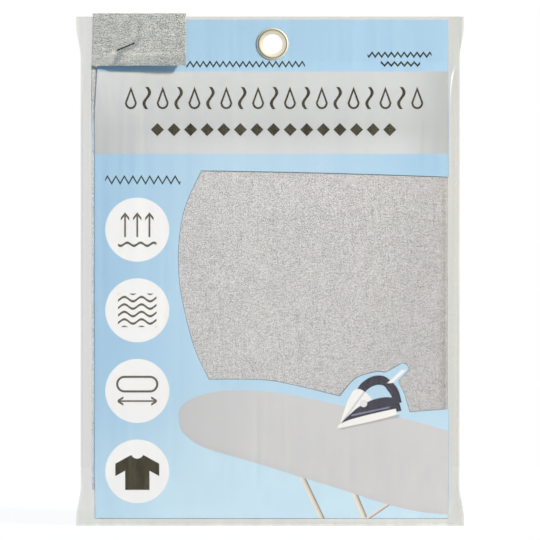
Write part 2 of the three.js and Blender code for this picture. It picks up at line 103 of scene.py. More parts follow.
# The folded cover: two laminated layers a panel, four panels
FABRIC = 0.3 * MM
FOAM = 1.0 * MM
BOND = 0.1 * MM
LAYER_GAP = 0.3 * MM
HEM = 12 * MM
PANEL_HALF = FABRIC + BOND + FOAM + LAYER_GAP / 2
PANEL_PITCH = 2 * PANEL_HALF + LAYER_GAP
INNER_PANEL, OUTER_PANEL = PANEL_PITCH / 2, 1.5 * PANEL_PITCH
COVER_HALF = (COVER_BACK - COVER_FRONT) / 2
COVER_MIDDLE = (COVER_BACK + COVER_FRONT) / 2
TURN_TOP = COVER_TOP - PANEL_PITCH / 2 - PANEL_HALF
TURN_BOTTOM = COVER_BOTTOM + COVER_HALF
NOSE_LENGTH = 330 * MM
NOSE_TIP = 42 * MM
HEEL_RADIUS = 70 * MM


def clamp(value, low=0.0, high=1.0):
    return min(max(value, low), high)


def lerp(start, end, share):
    return start + (end - start) * share


def ease(share):
    share = clamp(share)
    return share * share * (3 - 2 * share)


def steps(start, end, count):
    return [lerp(start, end, i / count) for i in range(count + 1)]


def arc(across, up, radius, start, end, count):
    """Points on a circle, from one angle to another."""
    return [
        (across + radius * math.cos(angle), up + radius * math.sin(angle))
        for angle in steps(start, end, count)
    ]


def bent_line(start, pull, end, count):
    """A line that sets out towards a point and bends to its end, without its start."""
    return [
        start * (1 - share) ** 2 + pull * 2 * share * (1 - share) + end * share**2
        for share in steps(0, 1, count)[1:]
    ]


def run_lengths(points):
    """How far along a line of points each one lies, by their first two coordinates."""
    run = [0.0]
    for before, after in zip(points, points[1:]):
        run.append(run[-1] + math.hypot(after[0] - before[0], after[1] - before[1]))
    return run


def line_off(spot, start, end):
    """How far along a line a spot lies, from 0 to 1, and how far off it."""
    way = end - start
    share = clamp((spot - start).dot(way) / way.length_squared)
    return share, (spot - start - way * share).length


def ripple(x, z, size, seed):
    """Smooth noise between -1 and 1 over the pack's front, in folds of about that size."""
    return noise.noise(Vector((x / size, seed, z / size)))


def swell(z):
    """0 at the flat header and the card's lower edge, 1 where the pad is at full thickness."""
    from_header = clamp((HEADER_BOTTOM - z) / TOP_RAMP)
    from_bottom = clamp((z - CARD_BOTTOM) / BOTTOM_RAMP)
    soft_start = 0.05
    eased = from_header**2 / (from_header + soft_start) * (1 + soft_start)
    return math.sin(eased * math.pi / 2) * math.sin(from_bottom * math.pi / 2)


def draw_in(z):
    """How far the thick pad pulls each side of the bag in."""
    upper = ease((FLARE_TOP - z) / CORNER_FLARE)
    lower = ease((z - CARD_BOTTOM) / CORNER_FLARE)
    return DRAW_IN * upper * lower


# Sizes and colours that a user would change
def ink(red, green, blue):
    """The colour that a printer would call by these sRGB values, as Blender's linear one."""
    def linear(value):
        share = value / 255
        return share / 12.92 if share <= 0.04045 else ((share + 0.055) / 1.055) ** 2.4
    return tuple(linear(v) for v in (red, green, blue))


def length(name, description, default):
    return bpy.props.FloatProperty(
        name=name, description=description, default=default, min=0.0, unit="LENGTH"
    )


def colour(name, description, default):
    return bpy.props.FloatVectorProperty(
        name=name, description=description, default=default, size=3, min=0, max=1,
        subtype="COLOR",
    )


class PackSizes(bpy.types.PropertyGroup):
    card_thickness: length("Card", "Thickness of the insert card", 0.4 * MM)
    rim_width: length("Cut rim", "Width of the crushed rim round the card", 0.3 * MM)
    film_thickness: length("Film", "Thickness of the bag's film", 0.12 * MM)
    film_ripple: length("Film ripples", "Height of the ripples in the bag's margins", 0.35 * MM)
    pad_bulge: length("Pad bulge", "How far the pad swells through the window", 0.45 * MM)
    yarn_pitch: length("Yarn pitch", "From one yarn of the fabric to the next", 0.55 * MM)
    stitch_length: length("Stitch", "Length of one stitch of the hem", 2.1 * MM)
    stitch_pitch: length("Stitch pitch", "From one stitch to the next", 3.0 * MM)
    wire: length("Wire", "Diameter of the staple's wire", 0.6 * MM)
    staple_dent: length("Dent", "How deep the staple presses into the sample", 0.62 * MM)


class PackColours(bpy.types.PropertyGroup):
    sky: colour("Card blue", "Deeper blue of the printed card", ink(164, 206, 238))
    pale_sky: colour("Card pale blue", "Paler blue of the printed card", ink(206, 235, 252))
    band: colour("Card band", "Grey of the printed band", ink(208, 211, 213))
    disc: colour("Card discs", "White of the printed discs", ink(254, 254, 255))
    brown: colour("Card brown", "Dark brown of the printed marks", ink(42, 29, 27))
    dark: colour("Card ink", "Dark ink of the printed stitches", ink(8, 22, 32))
    # Dark rim round the card's cut edges: the board's cut edge and painted shade in the gap beside
    # them.
    rim: colour("Card rim", "Crushed rim of the cut board", ink(88, 110, 132))
    fabric: colour("Fabric", "Metallic face of the folded cover", ink(201, 201, 204))
    sample: colour("Sample", "Metallic face of the stapled sample", ink(167, 169, 163))
    foam: colour("Foam", "Foam backing", ink(200, 188, 154))
    film: colour("Film", "Haze of the clear film", ink(120, 122, 86))
    brass: colour("Brass", "Plated eyelet", ink(216, 214, 197))
    # The staple's near black is painted shade of the crevice under the wire, laid on its steel.
    steel: colour("Steel", "Staple wire", ink(24, 24, 28))


def user_sizes():
    return bpy.context.scene.pack_sizes


def user_colours():
    return bpy.context.scene.pack_colours


# Nodes, and values that change over a surface
SHARP = 0.35  # width of a printed edge, in millimetres


def feed(slot, value):
    """Gives an input its value: a constant, a field or another socket."""
    if isinstance(value, Field):
        value = value.socket
    if isinstance(value, bpy.types.NodeSocket):
        slot.id_data.links.new(value, slot)
    elif slot.type == "RGBA":
        slot.default_value = (*value, 1)
    else:
        slot.default_value = value


def node_of(tree, kind, *inputs, **settings):
    """A shader node of that kind, with its settings and its first inputs."""
    node = tree.nodes.new(f"ShaderNode{kind}")
    for label, value in settings.items():
        setattr(node, label, value)
    for slot, value in zip(node.inputs, inputs):
        feed(slot, value)
    return node


class Field:
    """One socket of a node tree, with arithmetic that adds Math nodes."""

    def __init__(self, socket):
        self.socket = socket
        self.tree = socket.id_data

    def step(self, operation, *others, clamped=False):
        node = node_of(self.tree, "Math", self, *others, operation=operation, use_clamp=clamped)
        return Field(node.outputs[0])

    def __add__(self, other):
        return self.step("ADD", other)

    def __sub__(self, other):
        return self.step("SUBTRACT", other)

    def __mul__(self, other):
        return self.step("MULTIPLY", other)

    def __abs__(self):
        return self.step("ABSOLUTE")

    def sin(self):
        return self.step("SINE")

    def to(self, low, high):
        """This value, from 0 to 1, spread from low to high."""
        return self.step("MULTIPLY_ADD", high - low, low)

    def fading_to(self, value):
        """1 where this value is 0, the other value where it is 1."""
        return (value - 1.0) * self + 1.0

    def above(self, limit, soft=SHARP):
        """1 above the limit and 0 below it, over a soft edge."""
        if isinstance(limit, Field):
            return (self - limit).above(0.0, soft)
        return self.step("MULTIPLY_ADD", 1 / soft, 0.5 - limit / soft, clamped=True)

    def below(self, limit, soft=SHARP):
        if isinstance(limit, Field):
            return (self - limit).below(0.0, soft)
        return self.step("MULTIPLY_ADD", -1 / soft, 0.5 + limit / soft, clamped=True)

    def within(self, low, high, soft=SHARP):
        return self.above(low, soft) * self.below(high, soft)

    def either(self, other):
        return self.step("MAXIMUM", other)

    def wrapped(self, pitch):
        """Repeats every pitch, from minus half of it to half."""
        return self.step("WRAP", pitch / 2, -pitch / 2)

    def curve(self, points):
        """The height of a smooth line through (across, height) points."""
        left, right = points[0][0], points[-1][0]
        low = min(p[1] for p in points)
        high = max(p[1] for p in points)
        node = node_of(self.tree, "FloatCurve")
        share = self.step("MULTIPLY_ADD", 1 / (right - left), -left / (right - left), clamped=True)
        feed(node.inputs["Value"], share)
        line = node.mapping.curves[0]
        places = [((x - left) / (right - left), (y - low) / (high - low)) for x, y in points]
        line.points[0].location, line.points[-1].location = places[0], places[-1]
        for place in places[1:-1]:
            line.points.new(*place)
        node.mapping.update()
        return Field(node.outputs[0]).to(low, high)


def far_from(across, up):
    """The distance from the point where both values are 0."""
    place = node_of(across.tree, "CombineXYZ", across, up).outputs[0]
    reach = node_of(across.tree, "VectorMath", place, operation="LENGTH")
    return Field(reach.outputs["Value"])


def over(base, top, share):
    """The socket of a colour laid over another by a share that changes over the surface."""
    node = node_of(share.tree, "Mix", share, data_type="RGBA")
    feed(node.inputs[6], base)
    feed(node.inputs[7], top)
    return node.outputs[2]


def scaled(vector, factor):
    """The socket of a vector or colour times a field."""
    node = node_of(factor.tree, "VectorMath", vector, operation="SCALE")
    feed(node.inputs["Scale"], factor)
    return node.outputs[0]


def stretched(vector, factors):
    tree = vector.id_data
    return node_of(tree, "VectorMath", vector, factors, operation="MULTIPLY").outputs[0]


def grain(vector, scale, detail=2.0):
    """Noise at so many grains a metre, as a field round 0.5."""
    node = node_of(vector.id_data, "TexNoise", vector)
    node.inputs["Scale"].default_value = scale
    node.inputs["Detail"].default_value = detail
    return Field(node.outputs["Fac"])


def coordinates(tree, output="Object"):
    return node_of(tree, "TexCoord").outputs[output]


def across_and_up(tree):
    """Object coordinates as two fields, in millimetres."""
    apart = node_of(tree, "SeparateXYZ", coordinates(tree))
    return Field(apart.outputs[X]) * (1 / MM), Field(apart.outputs[Z]) * (1 / MM)


# Effects that more than one finish uses: a vector and values in, named values out
def plain_weave(vector, yarns_per_metre, weft_share):
    """Warp and weft yarns that pass over and under, each a little uneven."""
    counted = scaled(vector, yarns_per_metre)
    apart = node_of(vector.id_data, "SeparateXYZ", counted)
    drift = grain(counted, 0.09).to(-0.8, 0.8)
    warp, weft = Field(apart.outputs[X]) + drift, Field(apart.outputs[Y]) + drift
    drawn = node_of(vector.id_data, "CombineXYZ", warp, weft, 0.5).outputs[0]
    across, along = (warp * math.pi).sin(), (weft * math.pi).sin()
    on_top = (across * along).above(0.0, 0.5)
    yarn = abs(across) * on_top + abs(along) * on_top.to(1.0, 0.0)
    warp_tone = grain(stretched(drawn, (1.3, 0.08, 1.0)), 1.0, 1.0) - 0.5
    weft_tone = grain(stretched(drawn, (0.17, 1.3, 1.0)), 1.0, 1.0) - 0.5
    slub = (warp_tone * weft_share.to(1.0, 0.0) + weft_tone * weft_share) * 2.0
    speck = grain(drawn, 1.6, 1.0).above(0.5, 0.5) - 0.5
    tone = (yarn - 0.64) * 0.35 + slub * 0.5 + speck * 2.05
    height = yarn * 0.7 + slub * 0.4 + speck * 0.5
    return {"Tone": tone, "Height": height, "Sparkle": tone * 0.8 + 0.4}


def pressed_fibre(vector, rubbing):
    """Pressed fibres and the faint rubbing of board that has been handled."""
    fibre = grain(stretched(vector, (1.0, 1.0, 0.35)), 1800.0, 3.0)
    cloud = grain(vector, 22.0)
    tone = rubbing * (cloud - 0.5) + (fibre - 0.5) * 0.03 + 1.0
    return {"Tone": tone, "Height": fibre, "Roughness": cloud * 0.12 + fibre * 0.06 + 0.32}


def drawn_film(vector, cloudiness):
    """Draw lines that run down a film, and the cloudiness between them."""
    lines = grain(stretched(vector, (1.0, 1.0, 0.012)), 420.0)
    cloud = grain(vector, 34.0, 3.0)
    haze = (lines - 0.5) * 2.6 + (cloud - 0.5) * cloudiness + 1.0
    return {"Tone": haze, "Height": lines * 0.4 + cloud * 0.6, "Roughness": cloud * 0.1 + 0.2}


def handled_metal(vector, scratches):
    """Handling marks on plated metal: fine scratches and a dull cloud."""
    hair = grain(stretched(vector, (1.0, 0.15, 0.3)), 5200.0, 3.0)
    cloud = grain(vector, 380.0)
    mark = hair.above(0.62, 0.08) * scratches
    tone, roughness = cloud * 0.22 - mark * 0.1 + 0.9, cloud * 0.16 + mark * 0.1 + 0.62
    return {"Tone": tone, "Height": hair * 0.5 + cloud * 0.5, "Roughness": roughness}


EFFECTS = {
    "plain weave": (plain_weave, {"Yarns per metre": 1600.0, "Weft share": 0.5}),
    "pressed fibre": (pressed_fibre, {"Rubbing": 0.05}),
    "drawn film": (drawn_film, {"Cloudiness": 0.3}),
    "handled metal": (handled_metal, {"Scratches": 0.5}),
}


def effect_group(name):
    """The node group of an effect, which is made when a material first asks for it."""
    if name in bpy.data.node_groups:
        return bpy.data.node_groups[name]
    pattern, inputs = EFFECTS[name]
    tree = bpy.data.node_groups.new(name, "ShaderNodeTree")

    def opened(label, way, kind="NodeSocketFloat"):
        return tree.interface.new_socket(label, in_out=way, socket_type=kind)

    opened("Vector", "INPUT", "NodeSocketVector")
    for label, default in inputs.items():
        opened(label, "INPUT").default_value = default
    start = tree.nodes.new("NodeGroupInput").outputs
    end = tree.nodes.new("NodeGroupOutput").inputs
    made = pattern(start["Vector"], *[Field(start[label]) for label in inputs])
    for label, value in made.items():
        opened(label, "OUTPUT")
        feed(end[label], value)
    return tree


def effect(name, vector, *values):
    """Puts a shared effect into a material with its own values: its outputs as fields."""
    node = node_of(vector.id_data, "Group", node_tree=effect_group(name))
    for slot, value in zip(node.inputs, (vector, *values)):
        feed(slot, value)
    return {output.name: Field(output) for output in node.outputs}


# Finishes
def new_finish(name, output="Object"):
    """A new material, and the coordinates that its pattern follows."""
    material = bpy.data.materials.new(name)
    material.use_nodes = True
    return material, coordinates(material.node_tree, output)


def finished(material, base, tone, roughness, height, depth, **inputs):
    """The material once its shader has a toned colour, a roughness, a bump and other inputs."""
    bump = node_of(height.tree, "Bump")
    bump.inputs["Distance"].default_value = depth
    feed(bump.inputs["Height"], height)
    inputs.update(Base_Color=scaled(base, tone), Roughness=roughness, Normal=bump.outputs[0])
    shader = material.node_tree.nodes["Principled BSDF"]
    for label, value in inputs.items():
        feed(shader.inputs[label.replace("_", " ")], value)
    return material


def cloth_finish(name, base, pitch, contrast, depth, weft_share, shaded=False):
    """Aluminium-coated plain weave: grey yarns with a dull metallic glint; shaded, with painted
    light and shade over the cover.
    """
    material, place = new_finish(name, "UV")
    weave = effect("plain weave", place, 1 / pitch, weft_share)
    tone = weave["Tone"] * contrast + (grain(place, 60.0, 3.0) - 0.5) * 0.13 + 1.0
    if shaded:
        x, z = across_and_up(material.node_tree)
        # Painted light and shade: lighter towards the left and the top, darker towards the right
        # and in a strip at the right fold's edge.
        tone = tone * x.above(20.0, 160.0).to(1.055, 0.985) * x.above(85.0, 80.0).to(1.0, 0.86)
        tone = tone * z.above(-95.0, 40.0).to(1.0, 1.03) * x.above(99.5, 4.0).to(1.0, 0.74)
        # Painted shade on the sliver of fabric beside the card's left edge near the top, and
        # painted light on it lower down.
        sliver = x.below(-104.6, 1.2)
        tone = tone * sliver.fading_to(z.above(-46.0, 30.0).to(1.72, 0.9))
    roughness = weave["Sparkle"] * -0.3 + 0.64
    return finished(material, base, tone, roughness, weave["Height"], depth, Metallic=0.3)


def foam_finish(name):
    """Open-cell foam, paler where the cells are cut."""
    material, place = new_finish(name)
    cells = node_of(material.node_tree, "TexVoronoi", place)
    cells.inputs["Scale"].default_value = 2600.0
    cell = Field(cells.outputs["Distance"])
    tone = cell * 0.3 + grain(place, 60.0) * 0.16 + 0.78
    return finished(material, user_colours().foam, tone, 0.95, cell, 0.15 * MM)


def thread_finish(name):
    material, place = new_finish(name)
    ply = grain(place, 6000.0)
    return finished(material, ink(214, 214, 210), ply * 0.3 + 0.85, 0.7, ply, 0.05 * MM)


def film_finish(name, base, alpha, left, right, depth):
    """Clear film; left and right are the shares of its alpha in the margins beside the card."""
    material, place = new_finish(name)
    x, _ = across_and_up(material.node_tree)
    alpha = x.below(-105.0, 3.0).to(alpha, alpha * left) * x.above(104.0, 3.0).to(1.0, right)
    film = effect("drawn film", place, 0.6)
    return finished(
        material, base, film["Tone"], film["Roughness"], film["Height"], depth,
        Alpha=alpha, IOR=1.5, Specular_IOR_Level=0.55,
    )


# The groove round the eyelet's hole, and the plate's tone outwards from it, in millimetres: painted
# shade and reflection that darken the plate round the groove
GROOVE = 8.35
PLATE_TONE_AND_SHADE = [(5.9, 1.0), (7.0, 0.9), (8.1, 0.76), (8.9, 0.82), (9.5, 0.86)]


def metal_finish(name, base, scratches, grooved=False):
    """Worn plate; grooved, it gets tarnish and a painted dark reflection in the eyelet's groove,
    painted shade round it, and painted shade on its left side.
    """
    material, place = new_finish(name)
    worn = effect("handled metal", place, scratches)
    tone = worn["Tone"]
    if grooved:
        x, z = across_and_up(material.node_tree)
        reach = far_from(x, z)
        # A dark ring in the groove: tarnish and a painted dark reflection.
        tarnish_and_reflection = abs(reach - GROOVE).below(0.3, 0.5) * grain(place, 150.0).to(0.45, 1.15)
        tone = tone * reach.curve(PLATE_TONE_AND_SHADE) * (tarnish_and_reflection * -0.9 + 1.0)
        # Painted shade: the plate darker on its left side, away from the key light, and lighter on
        # its right.
        tone = tone * x.above(-1.0, 14.0).to(0.8, 1.12)
    return finished(
        material, base, tone, worn["Roughness"], worn["Height"], 0.02 * MM, Metallic=1.0
    )


def core_finish(name, base, outside=1.0):
    """Raw board, as on the card's back and where it is cut; outside is its tone at the left and
    right edges and partly along the lower edge's right part, which lightens the cut edge's painted
    shade there.
    """
    material, place = new_finish(name)
    paper = effect("pressed fibre", place, 0.12)
    x, z = across_and_up(material.node_tree)
    side = abs(x + 0.9).above(103.0, 2.0)
    side = side.either(z.below(-278.0, 1.0) * x.above(32.0, 16.0) * 0.6)
    return finished(
        material, base, paper["Tone"] * side.to(1.0, outside), paper["Roughness"].to(0.3, 1.1),
        paper["Height"], 0.03 * MM,
    )


# Layout of the card's print, in millimetres from the eyelet
BAND_TOP, BAND_BOTTOM = -16.4, -65.2
STITCH_ROWS = [  # left, right, height, reach up and down, pitch
    (-51.0, 19.2, -12.0, 1.5, 3.9), (56.2, 94.2, -6.4, 1.3, 3.8),
    (64.0, 87.4, -11.9, 1.1, 3.9), (-98.9, -54.4, -80.6, 2.2, 5.0),
]
DISC_ACROSS, DISC_FIRST, DISC_PITCH, DISC_RADIUS = -79.9, -110.0, 47.6, 18.9
BOARD_LEFT = -55.6
BOARD_TOP = [
    (-55.7, -219.6), (-54.2, -214.4), (-47.0, -209.5), (-36.6, -206.3), (-22.8, -204.8),
    (-0.4, -206.0), (20.8, -209.6), (42.3, -214.2), (70.0, -219.9), (84.7, -223.3),
    (104.0, -229.0),
]
BOARD_BOTTOM = [
    (-55.7, -219.6), (-54.1, -227.7), (-48.8, -233.8), (-39.6, -238.9), (-28.7, -242.4),
    (-12.5, -247.0), (14.7, -255.5), (39.9, -263.3), (65.4, -271.6), (84.8, -276.4),
    (104.0, -278.5),
]
LEGS = [  # from the board, down to the card's lower edge
    ((17.4, -255.6), (29.4, -281.0)), ((48.4, -265.6), (54.8, -281.0)),
    ((69.0, -272.0), (56.0, -281.0)),
]
LEG_HALF = 1.7

# The iron, in its own tilted frame with the sole's tip at 0
SOLE_TIP, SOLE_TILT, IRON_SCALE = (38.5, -227.4), math.radians(12.0), 1.2
GRIP_OUTSIDE = [(8.0, 7.0), (12.0, 15.0), (18.0, 20.4), (25.0, 21.4), (30.5, 17.4), (33.5, 7.0)]
GRIP_INSIDE = [(12.0, 7.0), (15.5, 13.0), (20.0, 16.4), (25.0, 16.6), (28.0, 13.0), (29.5, 7.0)]
TANK_TOP = [(1.6, 2.2), (5.0, 8.0), (9.0, 14.0), (13.0, 17.0), (17.0, 14.6), (20.0, 8.0)]
HULL_TOP = [(2.2, 2.2), (7.0, 5.4), (14.0, 8.8), (22.0, 10.4), (28.0, 9.8), (32.5, 3.4)]
SOLE_BOTTOM = [(0.0, 0.0), (16.0, 0.0), (30.0, 0.9)]
SOLE_TOP = [(0.0, 0.3), (3.5, 2.4), (10.0, 3.2), (30.0, 3.6)]


def printed_ground(x, z):
    """Blue that pales downwards and away from the left edge."""
    pale = z.below(-52.0, 20.0) * 0.35 + z.below(-235.0, 60.0) * 0.55 + 0.25
    pale = pale - x.below(-66.0, 50.0) * 0.45
    pale = pale - x.above(60.0, 60.0) * z.within(-110.0, -58.0, 20.0) * 0.4
    return over(user_colours().sky, user_colours().pale_sky, pale)


def printed_band(x, z, paint):
    """A printed grey band, with painted light at its top and bottom and painted shade at its ends.
    """
    grey = user_colours().band
    # Painted light at the band's top and bottom and painted shade at its ends, laid on the printed
    # grey.
    lit = z.below(-56.0, 12.0).either(z.above(-34.0, 26.0) * 0.5 + x.below(-80.0, 30.0) * 0.3)
    ends = ((x * 0.8 + z).below(-126.0, 44.0) * 0.8).either(x.above(90.0, 24.0) * 0.85)
    shade = over(over(grey, grey * 1.14, lit), grey * 0.8, ends)
    return over(paint, shade, z.within(BAND_BOTTOM, BAND_TOP, 1.4))


def band_marks(x, z):
    """A row of rising heat and steam drops, above a row of diamonds."""
    pair = 18.8
    middle = x - 0.9
    wave = middle.wrapped(pair) - ((z + 32.2) * (2 * math.pi / 13.2)).sin() * 1.6
    wave = abs(wave).below(0.95) * z.within(-38.8, -25.6)
    beside = abs((middle - pair / 2).wrapped(pair))

    def drop(radius, tip):
        round_part = far_from(beside, z + 35.4).below(radius)
        cone = beside - (z * -1.0 + tip) * (radius / (tip + 34.6))
        return round_part.either(cone.below(0.0) * z.within(-35.4, tip))

    drops = drop(3.4, -25.3) * drop(2.15, -28.4).to(1.0, 0.0)
    marks = wave.either(drops) * abs(middle).below(9.5 * pair / 2, 0.1)
    middle = x - 0.6
    diamond = abs(middle.wrapped(9.8)) + abs(z + 50.9)
    return marks.either(diamond.below(3.9, 0.5) * abs(middle).below(73.5, 0.1))


def zigzag_stitches(x, z):
    rows = []
    for left, right, height, reach, pitch in STITCH_ROWS:
        thread = abs(x.wrapped(pitch)) * (4 * reach / pitch) - reach
        rows.append(abs(z - height - thread).below(0.78) * x.within(left, right))
    stitches = rows[0]
    for row in rows[1:]:
        stitches = stitches.either(row)
    return stitches


def printed_discs(x, z, paint):
    """A column of white discs, each with a plain sign."""
    across, up = x - DISC_ACROSS, (z - DISC_FIRST).wrapped(DISC_PITCH)
    aside = abs(across)
    column = z.within(DISC_FIRST - 3.5 * DISC_PITCH, DISC_FIRST + DISC_PITCH / 2, 0.1)
    disc = far_from(across, up).below(DISC_RADIUS) * column
    paint = over(paint, user_colours().disc, disc)

    def in_disc(number):
        top = DISC_FIRST + DISC_PITCH * (0.5 - number)
        return z.within(top - DISC_PITCH, top, 0.1)

    # Heat thrown back by a layer: three arrows over a wavy line
    lane = across.wrapped(7.2)
    shafts = abs(lane).below(0.55) * up.within(-4.4, 9.0)
    tips = abs(up - 9.4 + abs(lane) * 1.25).below(0.9) * abs(lane).below(2.5)
    layer = abs(up + 8.6 - (across * 0.8).sin() * 0.9).below(0.75)
    arrows = shafts.either(tips) * aside.below(10.6, 0.1)
    signs = arrows.either(layer * aside.below(11.4)) * in_disc(0)
    # Layers of foam
    foam = abs((up - (across * 0.62).sin() * 1.3 - 2.2).wrapped(4.4)).below(0.7)
    foam = foam * aside.below(11.4) * abs(up).below(9.9)
    signs = signs.either(foam * in_disc(1))
    # A board and its width
    capsule = abs(far_from((aside - 7.5).either(0.0), up - 4.0) - 4.3).below(0.65)
    shaft = abs(up + 6.0)
    heads = abs(shaft - (aside * -0.62 + 7.2)).below(0.7) * aside.within(8.2, 11.6)
    gauge = (shaft.below(0.5) * aside.below(10.6)).either(heads)
    signs = signs.either(capsule.either(gauge) * in_disc(2))
    # A shirt
    shoulder = (aside - 3.2).either(0.0) * -0.55 + 10.0
    sleeve = up.below(shoulder) * up.above(shoulder - 7.4)
    body = aside.below(7.2) * up.within(-11.0, 8.0)
    shirt = (sleeve * aside.below(13.0)).either(body)
    shirt = shirt * far_from(across, up - 11.4).above(3.8) * in_disc(3)
    paint = over(paint, ink(92, 84, 78), signs * column)
    return over(paint, user_colours().brown, shirt)


def printed_board(x, z, paint):
    """An ironing board, shaded towards its nose and its lower edge, on cream tubes for legs."""
    for (left, top), (right, bottom) in LEGS:
        off = x - ((z - top) * ((right - left) / (bottom - top)) + left)
        leg = abs(off).below(LEG_HALF) * z.within(bottom, top)
        wood = over(ink(242, 232, 220), ink(216, 200, 184), off.above(-0.1, 0.9))
        paint = over(paint, over(wood, ink(150, 142, 142), off.above(0.85, 0.5)), leg)
    top_line, low_line = x.curve(BOARD_TOP), x.curve(BOARD_BOTTOM)
    board = z.below(top_line) * z.above(low_line) * x.above(BOARD_LEFT)
    shade = (z - low_line).below(2.0, 5.0) * 0.25 + x.below(-34.0, 40.0) * 0.35
    return over(paint, over(ink(214, 214, 217), ink(186, 185, 191), shade), board)


def printed_iron(x, z, paint):
    """A plain navy and white iron with its shadow and the end of its cable."""
    right, up = x - SOLE_TIP[0], z - SOLE_TIP[1]
    cosine, sine = math.cos(SOLE_TILT) / IRON_SCALE, math.sin(SOLE_TILT) / IRON_SCALE
    along, rise = right * cosine + up * sine, up * cosine - right * sine
    navy, white = ink(44, 40, 74), ink(252, 251, 250)

    def shape(low, high, start, end):
        return rise.above(low) * rise.below(high) * along.within(start, end)

    shadow = along.within(1.0, 31.0, 1.5) * rise.within(-0.9, 0.5, 0.9) * 0.5
    grip = shape(6.0, along.curve(GRIP_OUTSIDE), 8.0, 33.5)
    hole = shape(6.0, along.curve(GRIP_INSIDE), 12.0, 29.5)
    tank = shape(2.0, along.curve(TANK_TOP), 1.6, 20.0) * (rise - along * 0.4).above(-1.6)
    cable = abs(x - (z * 1.09 + 287.8)).below(1.5) * z.within(-200.6, -192.8, 0.8)
    for hue, share in (
        (ink(140, 134, 134), shadow),
        (navy, grip * hole.to(1.0, 0.0)),
        (white, tank),
        (ink(214, 214, 220), tank * abs(rise - along * 0.9).below(0.6, 0.8)),
        (navy, shape(2.0, along.curve(HULL_TOP), 2.2, 32.5)),
        (ink(128, 130, 160), shape(4.5, 5.3, 8.0, 27.0)),
        (ink(236, 234, 240), far_from(along - 15.0, rise - 9.4).below(1.8)),
        (white, shape(along.curve(SOLE_BOTTOM), along.curve(SOLE_TOP), 0.0, 30.0)),
        (white, cable),
    ):
        paint = over(paint, hue, share)
    return paint


def printed_finish(name):
    """The card's print, laid on from the ground up."""
    material, place = new_finish(name)
    x, z = across_and_up(material.node_tree)
    paint = printed_band(x, z, printed_ground(x, z))
    paint = over(paint, user_colours().brown, band_marks(x, z))
    paint = over(paint, user_colours().dark, zigzag_stitches(x, z))
    for layer in (printed_discs, printed_board, printed_iron):
        paint = layer(x, z, paint)
    paper = effect("pressed fibre", place, 0.05)
    # Painted light: the print lighter towards the card's lower edge, where the card tilts down and
    # away from the light.
    tone = paper["Tone"] * z.below(-258.0, 36.0).to(1.0, 1.09)
    return finished(
        material, paint, tone, paper["Roughness"], paper["Height"], 0.01 * MM,
        Specular_IOR_Level=0.2,
    )


FINISHES = {
    "printed board": printed_finish,
    "board core": lambda name: core_finish(name, ink(232, 232, 228)),
    # The dark rim: the board's cut edge and painted shade beside the card, painted lighter at its
    # outer edges.
    "cut edge": lambda name: core_finish(name, user_colours().rim, 2.8),
    "metallic fabric": lambda name: cloth_finish(
        name, user_colours().fabric, user_sizes().yarn_pitch, 1.0, 0.05 * MM, 0.6, True
    ),
    "sample fabric": lambda name: cloth_finish(
        name, user_colours().sample, user_sizes().yarn_pitch * 1.15, 1.05, 0.06 * MM, 0.85
    ),
    "foam": foam_finish,
    "sewing thread": thread_finish,
    "clear film": lambda name: film_finish(
        name, user_colours().film, 0.11, 0.92, 1.17, 0.05 * MM
    ),
    "weld film": lambda name: film_finish(name, ink(168, 170, 152), 0.22, 0.9, 1.35, 0.1 * MM),
    "brass": lambda name: metal_finish(name, user_colours().brass, 0.5, True),
    "steel": lambda name: metal_finish(name, user_colours().steel, 0.8),
}


def finish_named(name):
    return bpy.data.materials.get(name) or FINISHES[name](name)


def dress(piece, *finishes):
    piece.data.materials.clear()
    for name in finishes:
        piece.data.materials.append(finish_named(name))


# Modelling helpers
def alone(piece=None):
    """Nothing else selected, in object mode."""
    if bpy.context.object and bpy.context.object.mode != "OBJECT":
        bpy.ops.object.mode_set(mode="OBJECT")
    bpy.ops.object.select_all(action="DESELECT")
    if piece is not None:
        piece.select_set(True)
        bpy.context.view_layer.objects.active = piece


def named(name):
    piece = bpy.context.object
    piece.name = piece.data.name = name
    return piece


def settle(piece):
    """Puts the piece's place into its mesh."""
    alone(piece)
    bpy.ops.object.transform_apply(location=True, rotation=True, scale=True)


def modified(piece, kind, **settings):
    alone(piece)
    modifier = piece.modifiers.new(kind.title(), kind)
    for label, value in settings.items():
        setattr(modifier, label, value)
    bpy.ops.object.modifier_apply(modifier=modifier.name)


def smoothed(piece, angle):
    alone(piece)
    bpy.ops.object.shade_smooth_by_angle(angle=math.radians(angle))


def packed(piece, angle, node):
    """Smooths a piece that rides on the pack and stands for one CAD node."""
    smoothed(piece, angle)
    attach(piece, "pack")
    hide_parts(node)


def linked(name, data):
    """A new object with that data, in the scene."""
    piece = bpy.data.objects.new(name, data)
    bpy.context.collection.objects.link(piece)
    return piece


def from_bmesh(name, work):
    """A new object with what was built in a bmesh."""
    mesh = bpy.data.meshes.new(name)
    work.to_mesh(mesh)
    work.free()
    return linked(name, mesh)


def open_mesh():
    """Edit mode, with everything selected."""
    bpy.ops.object.mode_set(mode="EDIT")
    bpy.ops.mesh.select_all(action="SELECT")


def close_mesh(near=None):
    """Joins points that are so near, turns all faces outwards and leaves edit mode."""
    bpy.ops.mesh.select_all(action="SELECT")
    if near is not None:
        bpy.ops.mesh.remove_doubles(threshold=near)
    bpy.ops.mesh.normals_make_consistent(inside=False)
    bpy.ops.object.mode_set(mode="OBJECT")


def cut_out(piece, cutter):
    modified(piece, "BOOLEAN", operation="DIFFERENCE", solver="EXACT", object=cutter)
    bpy.data.objects.remove(cutter)


